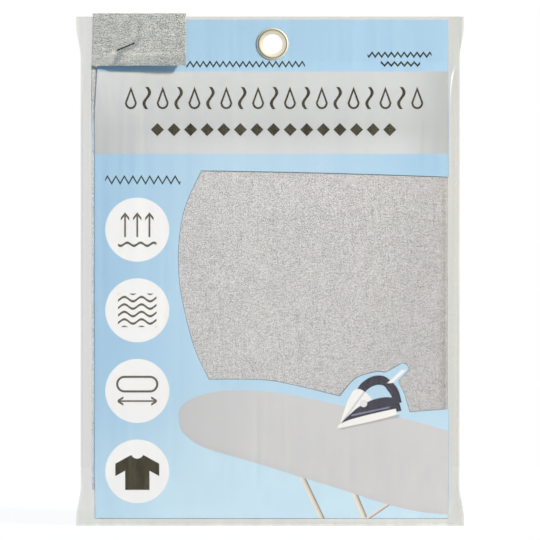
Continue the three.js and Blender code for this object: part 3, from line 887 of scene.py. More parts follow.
def grid(name, places, flat=None):
    """A grid primitive whose points are put in place, row by row, with the cloth's flat places."""
    rows, columns = len(places), len(places[0])
    alone()
    bpy.ops.mesh.primitive_grid_add(x_subdivisions=columns - 1, y_subdivisions=rows - 1, size=1)
    piece = named(name)
    points = [place for row in places for place in row]
    piece.data.vertices.foreach_set("co", [value for point in points for value in point])
    if flat is not None:
        spots = [spot for row in flat for spot in row]
        layer = piece.data.uv_layers.active
        for loop, slot in zip(piece.data.loops, layer.data):
            slot.uv = spots[loop.vertex_index]
    piece.data.update()
    return piece


def shell(name, rings, flat):
    """A closed sheet from rings of points, with its two ends closed."""
    work = bmesh.new()
    layer = work.loops.layers.uv.new("UVMap")
    corners = [[work.verts.new(point) for point in ring] for ring in rings]
    count = len(rings[0])
    for r in range(len(rings) - 1):
        for c in range(count):
            after = (c + 1) % count
            face = work.faces.new(
                (corners[r][c], corners[r + 1][c], corners[r + 1][after], corners[r][after])
            )
            spots = (flat[r][c], flat[r + 1][c], flat[r + 1][c + 1], flat[r][c + 1])
            for loop, spot in zip(face.loops, spots):
                loop[layer].uv = spot
    for ring in (corners[0], corners[-1]):
        work.faces.new(ring)
    bmesh.ops.triangulate(work, faces=[f for f in work.faces if len(f.verts) > 4])
    bmesh.ops.recalc_face_normals(work, faces=work.faces)
    return from_bmesh(name, work)


def hole_cutter():
    """A round cutter for the hole that the eyelet's tube goes through."""
    alone()
    bpy.ops.mesh.primitive_cylinder_add(
        vertices=96, radius=CLEAR_RADIUS, depth=30 * MM, rotation=(math.pi / 2, 0, 0)
    )
    return named("cutter")


def spun(name, profile):
    """A closed profile of (radius, depth) points, spun about the eyelet's axis."""
    alone()
    bpy.ops.mesh.primitive_circle_add(vertices=len(profile), radius=MM)
    piece = named(name)
    for vertex, (radius, depth) in zip(piece.data.vertices, profile):
        vertex.co = (radius, depth, 0)
    open_mesh()
    bpy.ops.mesh.spin(steps=96, angle=2 * math.pi, center=(0, 0, 0), axis=(0, 1, 0))
    close_mesh(0.002 * MM)
    settle(piece)
    return piece


# Insert card
# Its window, in shares of the card's width and height from the upper left corner
WINDOW_TOP, WINDOW_SILL = 0.3164, 0.7789  # where it runs out at the right edge
WINDOW_TOP_PULL = (0.638, 0.3064)
WINDOW_LINES = [  # down its left side, along its sill, round the tab
    [(0.3043, 0.3038), (0.2528, 0.3924), (0.2413, 0.5117), (0.2784, 0.6419), (0.3259, 0.7196)],
    [(0.3259, 0.7196), (0.4736, 0.7206), (0.5596, 0.7302), (0.6929, 0.7531)],
    [
        (0.6929, 0.7531), (0.7238, 0.7262), (0.7508, 0.7128), (0.7992, 0.7042), (0.8234, 0.7048),
        (0.8586, 0.6908), (0.8746, 0.6876), (0.8881, 0.6994), (0.8664, 0.7186), (0.86, 0.7262),
        (0.8746, 0.7472), (0.8909, 0.7847),
    ],
]
PAST_CUT = 3 * MM  # how far the window's cutter reaches past the card


def on_card(across, down):
    return Vector((lerp(CARD_LEFT, CARD_RIGHT, across), lerp(CARD_TOP, CARD_BOTTOM, down)))


def through(points, count):
    """A smooth line through the points, without the first of them."""
    line, last = [], len(points) - 1
    for i, (start, end) in enumerate(zip(points, points[1:])):
        leaving = (end - points[max(i - 1, 0)]) / 2
        coming = (points[min(i + 2, last)] - start) / 2
        for share in steps(0, 1, count)[1:]:
            square, cube = share**2, share**3
            place = start * (2 * cube - 3 * square + 1) + leaving * (cube - 2 * square + share)
            line.append(place + end * (3 * square - 2 * cube) + coming * (cube - square))
    return line


def window_outline():
    past = CARD_RIGHT + PAST_CUT
    top, sill = on_card(1, WINDOW_TOP), on_card(1, WINDOW_SILL)
    line = [Vector((past, top.y)), top]
    line += bent_line(top, on_card(*WINDOW_TOP_PULL), on_card(*WINDOW_LINES[0][0]), 14)
    for spots in WINDOW_LINES:
        line += through([on_card(*spot) for spot in spots], 8)
    return [*line, sill, Vector((past, sill.y))]


def prism(outline):
    """A cutter of that outline across and up, through the whole card."""
    alone()
    bpy.ops.mesh.primitive_circle_add(vertices=len(outline), radius=MM, fill_type="NGON")
    piece = named("cutter")
    for vertex, spot in zip(piece.data.vertices, outline):
        vertex.co = (spot.x, -PAST_CUT, spot.y)
    open_mesh()
    bpy.ops.mesh.extrude_region_move(TRANSFORM_OT_translate={"value": (0, 2 * PAST_CUT, 0)})
    close_mesh()
    return piece


def uncovered(z):
    """How far the card's left edge is set in, which leaves a sliver of fabric in sight."""
    return (0.7 + 1.3 * ease((z + 45 * MM) / (35 * MM))) * MM


def cut_and_shaded_rim(piece, width, index):
    """Bevels the edges round the front face into a dark rim with its own material: the cut board's
    edge and painted shade in the gap beside it.
    """
    work = bmesh.new()
    work.from_mesh(piece.data)
    weight = work.edges.layers.float.new("bevel_weight_edge")
    for edge in work.edges:
        ahead = [face.normal.y < -0.5 for face in edge.link_faces]
        middle = (edge.verts[0].co + edge.verts[1].co) / 2
        if any(ahead) and not all(ahead) and middle.z < CARD_TOP - 0.1 * MM:
            edge[weight] = 1.0
    work.to_mesh(piece.data)
    work.free()
    modified(
        piece, "BEVEL", width=width, segments=2, limit_method="WEIGHT", material=index,
        use_clamp_overlap=False,
    )


def sliced(piece, heights):
    """Cuts the piece across at those heights, so that it can bend there."""
    alone(piece)
    bpy.ops.object.mode_set(mode="EDIT")
    for height in heights:
        bpy.ops.mesh.select_all(action="SELECT")
        bpy.ops.mesh.bisect(plane_co=(0, 0, height), plane_no=(0, 0, 1))
    bpy.ops.object.mode_set(mode="OBJECT")


def add_card():
    sizes = user_sizes()
    alone()
    bpy.ops.mesh.primitive_cube_add(
        size=1, location=((CARD_LEFT + CARD_RIGHT) / 2, 0, (CARD_TOP + CARD_BOTTOM) / 2)
    )
    card = named("printed_card")
    card.scale = (CARD_RIGHT - CARD_LEFT, sizes.card_thickness, CARD_TOP - CARD_BOTTOM)
    settle(card)
    cut_out(card, prism(window_outline()))
    cut_out(card, hole_cutter())
    dress(card, "printed board", "board core", "cut edge")
    for face in card.data.polygons:
        face.material_index = 0 if face.normal.y < -0.5 else 1
    cut_and_shaded_rim(card, sizes.rim_width, 2)
    top_bend = steps(HEADER_BOTTOM, HEADER_BOTTOM - TOP_RAMP, 36)
    bottom_bend = steps(CARD_BOTTOM + BOTTOM_RAMP, CARD_BOTTOM, 30)
    sliced(card, top_bend + steps(top_bend[-1], bottom_bend[0], 24)[1:-1] + bottom_bend[:-1])
    for vertex in card.data.vertices:
        x, z = vertex.co.x, vertex.co.z
        vertex.co.x += uncovered(z) * clamp(1 - (x - CARD_LEFT) / (12 * MM))
        vertex.co.y -= COVER_HALF * swell(z)
    card.data.update()
    packed(card, 12, "insert_card")


# Folded cover
def folding_path():
    """Places down and up the four panels and round their three turns: depth, height, way out."""
    down = steps(TURN_TOP, TURN_BOTTOM, 68)
    up = down[::-1]

    def panel(depth, heights, way):
        return [(depth, z, (way, 0.0)) for z in heights]

    def turn(depth, height, radius, start, end, count, way=1.0):
        places = arc(depth, height, radius, start, end, count)
        ways = arc(0, 0, way, start, end, count)
        return [(y, z, out) for (y, z), out in zip(places, ways)][1:-1]

    return [
        *panel(INNER_PANEL, down, 1.0),
        *turn(0, TURN_BOTTOM, INNER_PANEL, 0, -math.pi, 8),
        *panel(-INNER_PANEL, up, -1.0),
        *turn(-PANEL_PITCH, TURN_TOP, INNER_PANEL, 0, math.pi, 8, -1.0),
        *panel(-OUTER_PANEL, down, 1.0),
        *turn(0, TURN_BOTTOM, OUTER_PANEL, math.pi, 2 * math.pi, 16, -1.0),
        *panel(OUTER_PANEL, up, -1.0),
    ]


def half_width(distance, whole):
    """The cover's half width, from its fold, at a distance from the nose's tip."""
    full = COVER_RIGHT - COVER_LEFT
    to_nose = clamp(1 - distance / NOSE_LENGTH)
    nose = NOSE_TIP + (full - NOSE_TIP) * (1 - to_nose**2.4) ** (1 / 1.7)
    to_heel = clamp(1 - (whole - distance) / HEEL_RADIUS)
    heel = full - HEEL_RADIUS * (1 - math.sqrt(1 - to_heel**2))
    return min(nose, heel)


# Sections of the folded layer: points across, and out from the middle of the fold
FOLD_AT = COVER_RIGHT - PANEL_HALF
CORE = LAYER_GAP / 2


def mirrored(points):
    """The same points on the fold's other half, in the opposite order."""
    return [(x, -out) for x, out in points[::-1]]


def fabric_section(left):
    """A hairpin: right fold, left edges, turned-in hems; its outside comes first."""
    edge_radius = (PANEL_HALF - CORE) / 2
    edge_at = left + edge_radius

    def skin(low, high, radius):
        half = [(x, low) for x in steps(left + HEM, edge_at, 3)[:-1]]
        half += arc(edge_at, (PANEL_HALF + CORE) / 2, radius, -math.pi / 2, -1.5 * math.pi, 5)
        half += [(x, high) for x in steps(edge_at, FOLD_AT, 26)[1:-1]]
        return half + arc(FOLD_AT, 0, high, math.pi / 2, -math.pi / 2, 10) + mirrored(half)

    inside = skin(CORE + FABRIC, PANEL_HALF - FABRIC, edge_radius - FABRIC)
    return skin(CORE, PANEL_HALF, edge_radius) + inside[::-1]


def foam_section(left):
    """The lining inside the fabric: full thickness, thinner where the hem lies on it."""
    outer, lining = PANEL_HALF - FABRIC - BOND, CORE + FABRIC + BOND
    start, hem = left + FABRIC + BOND, left + HEM + LAYER_GAP
    half = [(hem, CORE), (hem, lining), (lerp(start, hem, 0.5), lining), (start + BOND * 2, lining)]
    half += [(start, lerp(lining, outer, 0.5)), (start + BOND * 2, outer)]
    half += [(x, outer) for x in steps(start + 4 * BOND, FOLD_AT, 20)[:-1]]
    inner = [(x, CORE) for x in steps(FOLD_AT, hem, 6)[1:-1]]
    return (
        half + arc(FOLD_AT, 0, outer, math.pi / 2, -math.pi / 2, 10) + mirrored(half)
        + mirrored(inner) + arc(FOLD_AT, 0, CORE, -math.pi / 2, math.pi / 2, 4) + inner
    )


def window_push(x, z):
    """How far the pad stands out through the window there, as a share."""
    left = ease((x + 50 * MM) / (30 * MM))
    upper = ease((-74 * MM - z) / (28 * MM))
    lower = ease((z + 202 * MM) / (30 * MM))
    return left * upper * lower


# The corner of the front panel's hem that is pulled up: its width, and how far out and up
CORNER, CORNER_OUT, CORNER_UP = 14 * MM, 0.5 * MM, 4.6 * MM


def corner_pull(x, z):
    """How far the hem is pulled at the front panel's upper left corner, as a share."""
    return ease((COVER_LEFT + CORNER - x) / CORNER) * ease((z + 60 * MM) / (30 * MM))


def lay_cover(section):
    """Rings of a section along the folding path, with each point's flat place on the cloth."""
    path = folding_path()
    along = run_lengths(path)
    bulge = user_sizes().pad_bulge
    rings, flat = [], []
    for (depth, height, way), distance in zip(path, along):
        outline = section(COVER_RIGHT - half_width(distance, along[-1]))
        ring = []
        for x, out in outline:
            y, z = depth + out * way[0], height + out * way[1]
            if y < 0:
                corner = corner_pull(x, z)
                x -= CORNER_OUT * corner
                z += CORNER_UP * corner
            wave = 0.12 * MM * ripple(x, z, 26 * MM, 3.0)
            if y < -OUTER_PANEL:
                wave -= bulge * window_push(x, z) * (1 + 0.5 * ripple(x, z, 38 * MM, 8.0))
            ring.append((x, COVER_MIDDLE + (y + wave) * swell(z), z))
        rings.append(ring)
        flat.append([(run, distance) for run in run_lengths([*outline, outline[0]])])
    return rings, flat


def flat_cut(extra):
    """The cover's width and length before folding, and its area, with that much more a side."""
    along = run_lengths(folding_path())
    widths = [2 * (half_width(distance, along[-1]) + extra) for distance in along]
    area = sum((b - a) * (w + v) / 2 for a, b, w, v in zip(along, along[1:], widths, widths[1:]))
    return (max(widths), along[-1]), area


def add_cover():
    for name, section, finish, node, slot, hem, under in (
        ("cover_fabric", fabric_section, "metallic fabric", "cover_metallic_face",
         "metallic_fabric", HEM, "bag_back_film"),
        ("cover_foam", foam_section, "foam", "cover_foam_lining", "foam", 0.0, "cover_fabric"),
    ):
        layer = shell(name, *lay_cover(section))
        dress(layer, finish)
        packed(layer, 50, node)
        size, area = flat_cut(hem)


def hem_line():
    """The sewing line on the heel panel, up its open edge and across its end."""
    inset, heel_rows = 9 * MM, 66
    across, up = COVER_LEFT + HEEL_RADIUS, TURN_TOP - HEEL_RADIUS
    path = folding_path()
    along = run_lengths(path)
    line = [
        (COVER_RIGHT - half_width(distance, along[-1]) + inset, z)
        for (_, z, _), distance in list(zip(path, along))[-heel_rows:]
        if z < up
    ]
    line += arc(across, up, HEEL_RADIUS - inset, math.pi, math.pi / 2, 24)
    line += [(x, TURN_TOP - inset) for x in steps(across, COVER_RIGHT - 3 * MM, 20)[1:]]
    return [Vector(spot) for spot in line]


def add_stitches():
    sizes = user_sizes()
    line = hem_line()
    spots, run, due = [], 0.0, 0.0
    for start, end in zip(line, line[1:]):
        reach = (end - start).length
        while due <= run + reach:
            spots.append((start.lerp(end, (due - run) / reach), (end - start).normalized()))
            due += sizes.stitch_pitch
        run += reach
    work = bmesh.new()
    thick = 0.16 * MM
    shape = Matrix.Diagonal((sizes.stitch_length / 2, thick, thick * 1.4, 1))
    for spot, way in spots:
        depth = COVER_MIDDLE + (COVER_HALF + 0.04 * MM) * swell(spot.y)
        turn = Matrix((
            (way.x, 0, -way.y, spot.x), (0, 1, 0, depth), (way.y, 0, way.x, spot.y), (0, 0, 0, 1)
        ))
        bmesh.ops.create_uvsphere(work, u_segments=8, v_segments=5, radius=1, matrix=turn @ shape)
    piece = from_bmesh("hem_stitches", work)
    dress(piece, "sewing thread")
    smoothed(piece, 80)
    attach(piece, "pack")


# Bag
PAD_LEFT = COVER_LEFT - 0.8 * MM
PAD_RIGHT = CARD_RIGHT + SHEET_GAP
WELD_LAP = WELD_WIDTH * 0.97  # how far inside the bag's edge the films end
FILM_GAP = {-1: 0.5 * MM, 1: 0.8 * MM}  # from the pad to the front film and to the back one
FILM_ROWS = 170


def film_share(x, z):
    """0 at the welds and 1 on the card: how far the film has risen over the pad's side."""
    left = BAG_LEFT + draw_in(z) + WELD_WIDTH
    right = BAG_RIGHT - draw_in(z) - WELD_WIDTH
    return clamp(min((x - left) / (PAD_LEFT - left), (right - x) / (right - PAD_RIGHT)))


def film_closing(z):
    """0 at the bottom weld and at the mouth, 1 between them."""
    low = BAG_BOTTOM + WELD_WIDTH
    from_bottom = clamp((z - low) / (CARD_BOTTOM - SHEET_GAP - low))
    return from_bottom * clamp((BAG_TOP - z) / (BAG_TOP - CARD_TOP - SHEET_GAP))


# Creases that the pad pulls in the film: from, to, height, in millimetres
CREASES = [
    ((-113.0, 9.0), (-96.0, -34.0), 0.42), ((-112.0, -4.0), (-104.5, -52.0), 0.3),
    ((110.0, 8.0), (97.0, -30.0), 0.18), ((109.5, -8.0), (103.5, -58.0), 0.14),
    ((-60.0, -2.0), (-72.0, -40.0), 0.16), ((38.0, 4.0), (52.0, -38.0), 0.16),
    ((-113.5, -283.0), (-99.0, -246.0), 0.4), ((110.5, -283.0), (99.0, -248.0), 0.4),
]


def crease(x, z):
    height = 0.0
    for start, end, most in CREASES:
        share, off = line_off(Vector((x, z)), Vector(start) * MM, Vector(end) * MM)
        ends = math.sin(math.pi * clamp(share, 0.02, 0.98)) ** 0.7
        height += most * MM * math.exp(-((off / (1.5 * MM)) ** 2)) * ends
    return height


def film_places(side):
    """Rows of points of the front film, side -1, or the back one, side 1."""
    sizes = user_sizes()
    half_film = sizes.film_thickness / 2
    seam = SEAM_MIDDLE + side * (0.1 * MM + half_film)
    places = []
    for z in steps(BAG_TOP, BAG_BOTTOM + WELD_LAP, FILM_ROWS):
        left, right = BAG_LEFT + draw_in(z) + WELD_LAP, BAG_RIGHT - draw_in(z) - WELD_LAP
        columns = steps(left, PAD_LEFT, 16)[:-1] + steps(PAD_LEFT, PAD_RIGHT, 70)
        columns += steps(PAD_RIGHT, right, 16)[1:]
        closing = film_closing(z)
        full = side * (FILM_GAP[side] + half_film + COVER_HALF * swell(z))
        row = []
        for x in columns:
            share = film_share(x, z)
            free = math.sin(share * math.pi) ** 2
            lift = sizes.film_ripple * free * ripple(x, z, 13 * MM, 5.0 + side)
            lift += crease(x, z) * min(1.0, 3 * share)
            lift += 0.1 * MM * (1 + ripple(x, z, 30 * MM, 11.0 + side)) * share
            rise = math.sin(share * math.pi / 2) * closing
            row.append((x, lerp(seam, full, rise) + side * lift * closing, z))
        places.append(row)
    return places


def weld_places(side):
    """Rows of points of a side weld, 1 at the right and -1 at the left."""
    places = []
    for z in steps(BAG_TOP, BAG_BOTTOM, FILM_ROWS):
        edge = BAG_RIGHT - draw_in(z) if side > 0 else BAG_LEFT + draw_in(z)
        y = SEAM_MIDDLE + 0.12 * MM * ripple(0, z, 9 * MM, 21.0 + side)
        row = [(edge - side * x, y, z) for x in steps(0, WELD_WIDTH, 3)]
        places.append(row if side < 0 else row[::-1])
    return places


def bottom_weld_places():
    columns = steps(BAG_LEFT + WELD_WIDTH, BAG_RIGHT - WELD_WIDTH, 120)
    return [
        [(x, SEAM_MIDDLE + 0.1 * MM * ripple(x, z, 12 * MM, 31.0), z) for x in columns]
        for z in steps(BAG_BOTTOM + WELD_WIDTH, BAG_BOTTOM, 3)
    ]


def add_bag():
    for side, name, node in (
        (-1, "bag_front_sheet", "bag_front_film"), (1, "bag_back_sheet", "bag_back_film")
    ):
        film = grid(name, film_places(side))
        modified(film, "SOLIDIFY", thickness=user_sizes().film_thickness, offset=0)
        cut_out(film, hole_cutter())
        dress(film, "clear film")
        film.visible_shadow = False
        packed(film, 60, node)
    for name, places, node in (
        ("left_weld_bead", weld_places(-1), "bag_left_weld"),
        ("right_weld_bead", weld_places(1), "bag_right_weld"),
        ("bottom_weld_bead", bottom_weld_places(), "bag_bottom_weld"),
    ):
        weld = grid(name, places)
        modified(weld, "SOLIDIFY", thickness=0.42 * MM, offset=0)
        modified(weld, "BEVEL", width=0.08 * MM, segments=2, limit_method="ANGLE")
        dress(weld, "weld film")
        weld.visible_shadow = False
        packed(weld, 60, node)


# Eyelet
def offset_band(line, half):
    """A closed profile of even width along a line of points, with rounded ends."""
    def normal(i):
        before, after = line[max(i - 1, 0)], line[min(i + 1, len(line) - 1)]
        way = (after - before).normalized()
        return Vector((-way.y, way.x))

    one = [p + normal(i) * half for i, p in enumerate(line)]
    other = [p - normal(i) * half for i, p in enumerate(line)]
    first, last = (line[0] - line[1]).normalized(), (line[-1] - line[-2]).normalized()
    return [*one, line[-1] + last * half, *other[::-1], line[0] + first * half]


def barrel_line():
    """The middle of the barrel's wall: rim, tube and clinch, as radius and depth."""
    half = EYELET_WALL / 2
    tube, back = BORE_RADIUS + half, EYELET_BACK - half
    roll, flatness, curl = 1.05 * MM, 0.32, 0.75 * MM
    rim_base = -0.65 * MM
    rim = arc(RIM_RADIUS - half - roll, 0, roll, 0, -math.radians(150), 14)
    line = [Vector((radius, rim_base + depth * flatness)) for radius, depth in rim]
    start = line[-1]
    bend = Vector((tube + 0.05 * MM, start.y + 0.25 * MM))
    line += bent_line(start, bend, Vector((tube, rim_base + 0.3 * MM)), 8)
    clinch = arc(tube + curl, back - curl, curl, math.pi, math.pi / 2, 8)[1:]
    clinch.append((tube + curl + 0.7 * MM, back - 0.03 * MM))
    return line + [Vector(spot) for spot in ((tube, back - curl), *clinch)]


def washer_profile():
    inner = BORE_RADIUS + EYELET_WALL + 0.1 * MM
    soft = (WASHER_BACK - WASHER_FRONT) / 3
    return [
        (inner, WASHER_FRONT), (WASHER_RADIUS - soft / 2, WASHER_FRONT),
        *arc(WASHER_RADIUS - soft, WASHER_BACK - soft, soft, 0, math.pi / 2, 4),
        (inner + 1.4 * MM, WASHER_BACK), (inner, WASHER_BACK - 0.08 * MM),
    ]


def add_eyelet():
    wall = offset_band(barrel_line(), EYELET_WALL / 2)
    for name, profile, node in (
        ("eyelet_ring", wall, "eyelet_barrel"),
        ("eyelet_back_washer", washer_profile(), "eyelet_washer"),
    ):
        ring = spun(name, profile)
        dress(ring, "brass")
        packed(ring, 40, node)


# Stapled sample of the fabric
STAPLE_TILT = math.radians(22.7)
CROWN = 12.7 * MM
LEG = 4.6 * MM
CROWN_MIDDLE = Vector((SAMPLE_LEFT + 19.6 * MM, SAMPLE_TOP - 19.4 * MM))
CROWN_WAY = Vector((math.cos(STAPLE_TILT), math.sin(STAPLE_TILT)))
LOW_END = CROWN_MIDDLE - CROWN_WAY * CROWN / 2
HIGH_END = CROWN_MIDDLE + CROWN_WAY * CROWN / 2
SAMPLE_OUTER = (SAMPLE_BACK - SAMPLE_FRONT) / 2
FOLD_HEIGHT = SAMPLE_TOP - SAMPLE_OUTER
FLAP_LIFT = {-1: 6.9 * MM, 1: 1.1 * MM}

# Creases that run out from the staple: from, to, depth, half width at the start and at the end
CREASES_OF_SAMPLE = [
    (LOW_END, Vector((-95.2, -13.2)) * MM, 0.15 * MM, 0.9 * MM, 1.4 * MM),
    (HIGH_END, Vector((-79.0, 10.5)) * MM, 0.38 * MM, 1.0 * MM, 1.8 * MM),
    (LOW_END, Vector((-106.2, 1.5)) * MM, 0.2 * MM, 1.0 * MM, 2.0 * MM),
]
# Slopes beside the creases: from, to, way, rise, width of the slope, reach beyond it
RIDGES = [
    (LOW_END, Vector((-95.6, -13.2)) * MM, -1, 1.35 * MM, 4.6 * MM, 12 * MM),
    (HIGH_END - CROWN_WAY * 1.4 * MM, Vector((-79.6, 11.0)) * MM, 1, 0.5 * MM, 2.0 * MM, 7 * MM),
]


def pressed_in(x, z):
    """How deep the staple and its creases press the sample's face in."""
    spot = Vector((x, z))
    off = line_off(spot, LOW_END, HIGH_END)[1]
    depth = user_sizes().staple_dent * math.exp(-((off / (2.0 * MM)) ** 2))
    for start, end, deep, narrow, wide in CREASES_OF_SAMPLE:
        share, off = line_off(spot, start, end)
        dent = math.exp(-((off / lerp(narrow, wide, share)) ** 2))
        depth = max(depth, deep * (1 - 0.55 * share) * dent)
    return depth


def stood_out(x, z):
    """How far the sample swells out beside its creases, all layers alike."""
    height = 0.12 * MM * (0.5 + ripple(x, z, 7 * MM, 41.0) + 0.4 * ripple(x, z, 3.2 * MM, 43.0))
    for start, end, way, rise, width, reach in RIDGES:
        spot, whole = Vector((x, z)) - start, (end - start).length
        run = (end - start).normalized()
        right = way * (spot.x * run.y - spot.y * run.x)
        past = math.exp(-((max(right - width, 0) / reach) ** 2))
        beyond = way * (spot.y * CROWN_WAY.x - spot.x * CROWN_WAY.y)
        fading = 1 - 0.8 * ease((spot.dot(run) - 0.5 * whole) / whole) * (way > 0)
        height += rise * ease(right / width) * past * ease(beyond / (3.5 * MM)) * fading
    return height


def flap_rise(x):
    """The front flap's lift across its lower edge, more and more to the right."""
    return clamp(0.2 + 0.95 * (x - SAMPLE_LEFT) / (SAMPLE_RIGHT - SAMPLE_LEFT))


def flap_path(radius, side):
    """Depth and height along a layer from its free edge to the hinge: side -1 is the front."""
    return [(SEAM_MIDDLE + side * radius, z) for z in steps(SAMPLE_BOTTOM, HINGE, 18)]


def front_layer(radius):
    """From the flap's free edge, up the front, over the fold and down to the back's hinge."""
    def bent(value):
        squareness = 2 / 3
        return math.copysign(abs(value) ** squareness, value)

    places = flap_path(radius, -1)
    places += [(SEAM_MIDDLE - radius, z) for z in steps(HINGE, FOLD_HEIGHT, 44)[1:-1]]
    places += [
        (SEAM_MIDDLE - radius * bent(across), FOLD_HEIGHT + radius * bent(up))
        for across, up in arc(0, 0, 1, 0, math.pi, 20)
    ]
    places += [(SEAM_MIDDLE + radius, z) for z in steps(FOLD_HEIGHT, HINGE, 20)[1:]]
    return places


def lay_sample(places, left, right):
    """Rows of points across the sample, flat against the bag, with their places on the cloth."""
    columns = steps(left, right, 76)
    rows = []
    for y, z in places:
        down = clamp((SAMPLE_TOP - z) / (SAMPLE_TOP - SAMPLE_BOTTOM))
        row = []
        for x in columns:
            spread = -0.8 * MM * down * (1 - (x - left) / (right - left))
            height = z + 0.12 * MM * ripple(x, z, 14 * MM, 44.0) + 0.4 * MM * (1 - down)
            row.append((x + spread, y, height))
        rows.append(row)
    return rows, [[(x, run) for x in columns] for run in run_lengths(places)]


def pull_sample(piece):
    """Presses the sample in at the staple, swells it between the creases and lifts its flaps."""
    inner = SEAM_MIDDLE - SAMPLE_OUTER + FABRIC + BOND + FOAM
    for vertex in piece.data.vertices:
        x, y, z = vertex.co
        side = -1 if y < SEAM_MIDDLE else 1
        below = clamp((HINGE - z) / (HINGE - SAMPLE_BOTTOM))
        lift = FLAP_LIFT[side] * below**1.5
        if side < 0:
            depth = clamp((inner - y) / (inner - SEAM_MIDDLE + SAMPLE_OUTER))
            flat_part = ease((FOLD_HEIGHT - z) / (4 * MM))
            y += (pressed_in(x, z) * depth - stood_out(x, z)) * flat_part
            lift *= flap_rise(x)
        vertex.co.y = y + side * lift
    piece.data.update()


def add_sample():
    for word, radius, thickness, finish, short, slot, node in (
        ("fabric", SAMPLE_OUTER - FABRIC / 2, FABRIC, "sample fabric", 0.5 * MM,
         "metallic_fabric", "face"),
        ("foam", SAMPLE_OUTER - FABRIC - BOND / 2 - FOAM / 2, FOAM, "foam", 0.8 * MM,
         "foam", "foam"),
    ):
        left, right = SAMPLE_LEFT, SAMPLE_RIGHT - short
        for part, places, body, nodes in (
            ("back", flap_path(radius, 1)[::-1], "back_flap", (f"sample_back_flap_{node}",)),
            ("front", front_layer(radius), "front_flap",
             (f"sample_{node}", f"sample_front_flap_{node}")),
        ):
            rows, flat = lay_sample(places, left, right)
            piece = grid(f"sample_{part}_{word}", rows, flat)
            modified(piece, "SOLIDIFY", thickness=thickness, offset=0)
            modified(
                piece, "BEVEL", width=thickness * 0.22, segments=2, limit_method="ANGLE",
                angle_limit=1.0,
            )
            pull_sample(piece)
            dress(piece, finish)
            smoothed(piece, 50)
            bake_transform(piece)
            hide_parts(*nodes)
        right - left


def add_staple():
    """Bends the wire: leg, corner, side, corner, crown and the same again."""
    wire = user_sizes().wire
    radius, bend, half = wire / 2, wire * 0.6, (CROWN - wire) / 2
    front, back = SAMPLE_FRONT + 0.12 * MM, SAMPLE_BACK + 0.1 * MM + radius
    alone()
    bpy.ops.mesh.primitive_circle_add(
        vertices=14, radius=radius, fill_type="NGON",
        location=(-half + LEG, back, 0), rotation=(0, math.pi / 2, 0),
    )
    staple = named("staple_wire")
    settle(staple)
    open_mesh()
    leg, side, crown = LEG - bend, back - front - 2 * bend, 2 * (half - bend)
    corner, near, far = half - bend, front + bend, back - bend
    for (x, y), centre in (
        ((-leg, 0), (-corner, far)), ((0, -side), (-corner, near)),
        ((crown, 0), (corner, near)), ((0, side), (corner, far)), ((-leg, 0), None),
    ):
        bpy.ops.mesh.extrude_region_move(TRANSFORM_OT_translate={"value": (x, y, 0)})
        if centre is not None:
            bpy.ops.mesh.spin(steps=6, angle=math.pi / 2, center=(*centre, 0), axis=(0, 0, 1))
    close_mesh(0.01 * MM)
    turn = Matrix.Rotation(-STAPLE_TILT, 4, "Y")
    staple.data.transform(Matrix.Translation((CROWN_MIDDLE.x, 0, CROWN_MIDDLE.y)) @ turn)
    dress(staple, "steel")
    packed(staple, 50, "staple")


# Stage
def seen_share(tree):
    """1 for what the camera, metal and glass see of the studio, 0 for the light that it gives."""
    path = node_of(tree, "LightPath")
    seen = Field(path.outputs["Is Camera Ray"]).either(Field(path.outputs["Is Glossy Ray"]))
    return seen.either(Field(path.outputs["Is Transmission Ray"]))


def floor_finish(name):
    """Near white to the camera, with a soft shadow."""
    material, place = new_finish(name)
    seen = seen_share(material.node_tree)
    shader = material.node_tree.nodes["Principled BSDF"].inputs
    base = seen.to(0.85, 0.15) * grain(place, 3.0).to(0.99, 1.01)
    feed(shader["Base Color"], scaled((1, 1, 1), base))
    feed(shader["Roughness"], 0.9)
    feed(shader["Specular IOR Level"], 0.0)
    feed(shader["Emission Color"], (1, 1, 1))
    feed(shader["Emission Strength"], seen.to(0.0, 0.88))
    return material


def add_floor():
    alone()
    bpy.ops.mesh.primitive_plane_add(size=2.4, location=(0, -0.3, BAG_BOTTOM - 0.3 * MM))
    floor = named("studio_floor")
    bpy.ops.object.mode_set(mode="EDIT")
    bpy.ops.mesh.subdivide(number_cuts=3)
    bpy.ops.object.mode_set(mode="OBJECT")
    floor.data.materials.append(floor_finish("pale floor"))


def add_lights():
    """A warm key and back lamp, with a cool world that looks white."""
    aim = Vector((0, 0, -0.13))
    for name, place, size, power, tint in (
        ("key soft box", (3.43, -2.98, 1.96), 0.7, 330, (0.955, 0.825, 0.72)),
        ("back soft box", (0.4, 1.6, 1.2), 1.2, 24, (1.0, 0.85, 0.7)),
    ):
        lamp = bpy.data.lights.new(name, "AREA")
        lamp.shape = "RECTANGLE"
        lamp.size = lamp.size_y = size
        lamp.energy = power
        lamp.color = tint
        holder = linked(name, lamp)
        holder.location = place
        holder.rotation_euler = (aim - Vector(place)).to_track_quat("-Z", "Y").to_euler()
    world = bpy.data.worlds.new("studio")
    bpy.context.scene.world = world
    world.use_nodes = True
    seen = seen_share(world.node_tree)
    ground = world.node_tree.nodes["Background"]
    feed(ground.inputs["Color"], over((0.11, 0.277, 0.45), (1, 1, 1), seen))


def add_camera():
    away, width, sensor = 3.0, 319.4 * MM, 36
    camera = bpy.data.cameras.new("product camera")
    camera.sensor_width = sensor
    camera.lens = sensor * away / width
    camera.clip_start, camera.clip_end = 0.1, 60
    holder = linked("product camera", camera)
    holder.location = (-1.5 * MM, -away - 2 * MM, -133.8 * MM)
    holder.rotation_euler = (math.pi / 2, 0, 0)
    bpy.context.scene.camera = holder
    bpy.context.scene.view_settings.view_transform = "Standard"


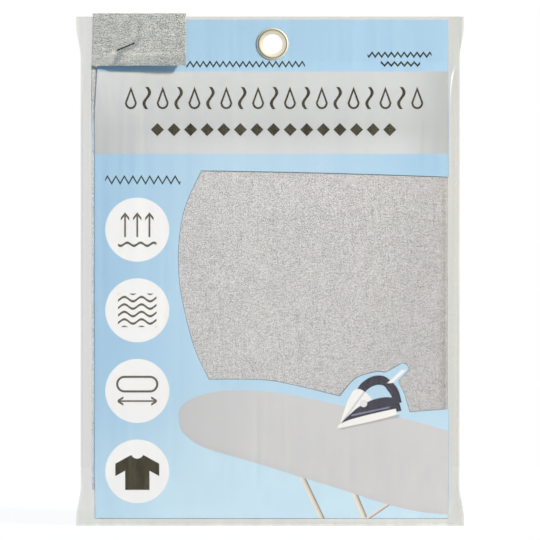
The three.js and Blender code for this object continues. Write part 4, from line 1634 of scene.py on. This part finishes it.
class Maker:
    """What the operators share: each runs its makers in order."""

    bl_options = {"REGISTER", "UNDO"}
    makers = ()

    def execute(self, context):
        for maker in self.makers:
            maker()
        return {"FINISHED"}


class PACKED_COVER_OT_card(Maker, bpy.types.Operator):
    """Add the printed card with its die-cut window"""

    bl_idname, bl_label = "packed_cover.card", "Insert card"
    makers = (add_card,)


class PACKED_COVER_OT_cover(Maker, bpy.types.Operator):
    """Add the folded fabric, its foam and its hem stitches"""

    bl_idname, bl_label = "packed_cover.cover", "Folded cover"
    makers = (add_cover, add_stitches)


class PACKED_COVER_OT_bag(Maker, bpy.types.Operator):
    """Add the two films and the welds that join them"""

    bl_idname, bl_label = "packed_cover.bag", "Film bag"
    makers = (add_bag,)


class PACKED_COVER_OT_eyelet(Maker, bpy.types.Operator):
    """Add the rolled eyelet and its washer"""

    bl_idname, bl_label = "packed_cover.eyelet", "Eyelet"
    makers = (add_eyelet,)


class PACKED_COVER_OT_sample(Maker, bpy.types.Operator):
    """Add the stapled sample and its staple"""

    bl_idname, bl_label = "packed_cover.sample", "Fabric sample"
    makers = (add_sample, add_staple)


class PACKED_COVER_OT_stage(Maker, bpy.types.Operator):
    """Add the floor, the lights and the camera"""

    bl_idname, bl_label = "packed_cover.stage", "Studio"
    makers = (add_floor, add_lights, add_camera)


OPERATORS = [
    PACKED_COVER_OT_card, PACKED_COVER_OT_cover, PACKED_COVER_OT_bag,
    PACKED_COVER_OT_eyelet, PACKED_COVER_OT_sample, PACKED_COVER_OT_stage,
]


class PACKED_COVER_PT_panel(bpy.types.Panel):
    """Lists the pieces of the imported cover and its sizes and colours"""

    bl_label = "Packed cover"
    bl_idname = "PACKED_COVER_PT_panel"
    bl_space_type = "VIEW_3D"
    bl_region_type = "UI"
    bl_category = "Packed cover"

    def draw(self, context):
        for made in OPERATORS:
            self.layout.operator(made.bl_idname)
        for group in (context.scene.pack_sizes, context.scene.pack_colours):
            box = self.layout.box()
            for label in group.__annotations__:
                box.prop(group, label)


CLASSES = [PackSizes, PackColours, *OPERATORS, PACKED_COVER_PT_panel]


def register():
    for made in CLASSES:
        bpy.utils.register_class(made)
    bpy.types.Scene.pack_sizes = bpy.props.PointerProperty(type=PackSizes)
    bpy.types.Scene.pack_colours = bpy.props.PointerProperty(type=PackColours)


def unregister():
    del bpy.types.Scene.pack_colours
    del bpy.types.Scene.pack_sizes
    for made in reversed(CLASSES):
        bpy.utils.unregister_class(made)


def main():
    register()
    for name in ("stage", "card", "cover", "bag", "eyelet", "sample"):
        getattr(bpy.ops.packed_cover, name)()
    alone()


if __name__ == "__main__":
    main()
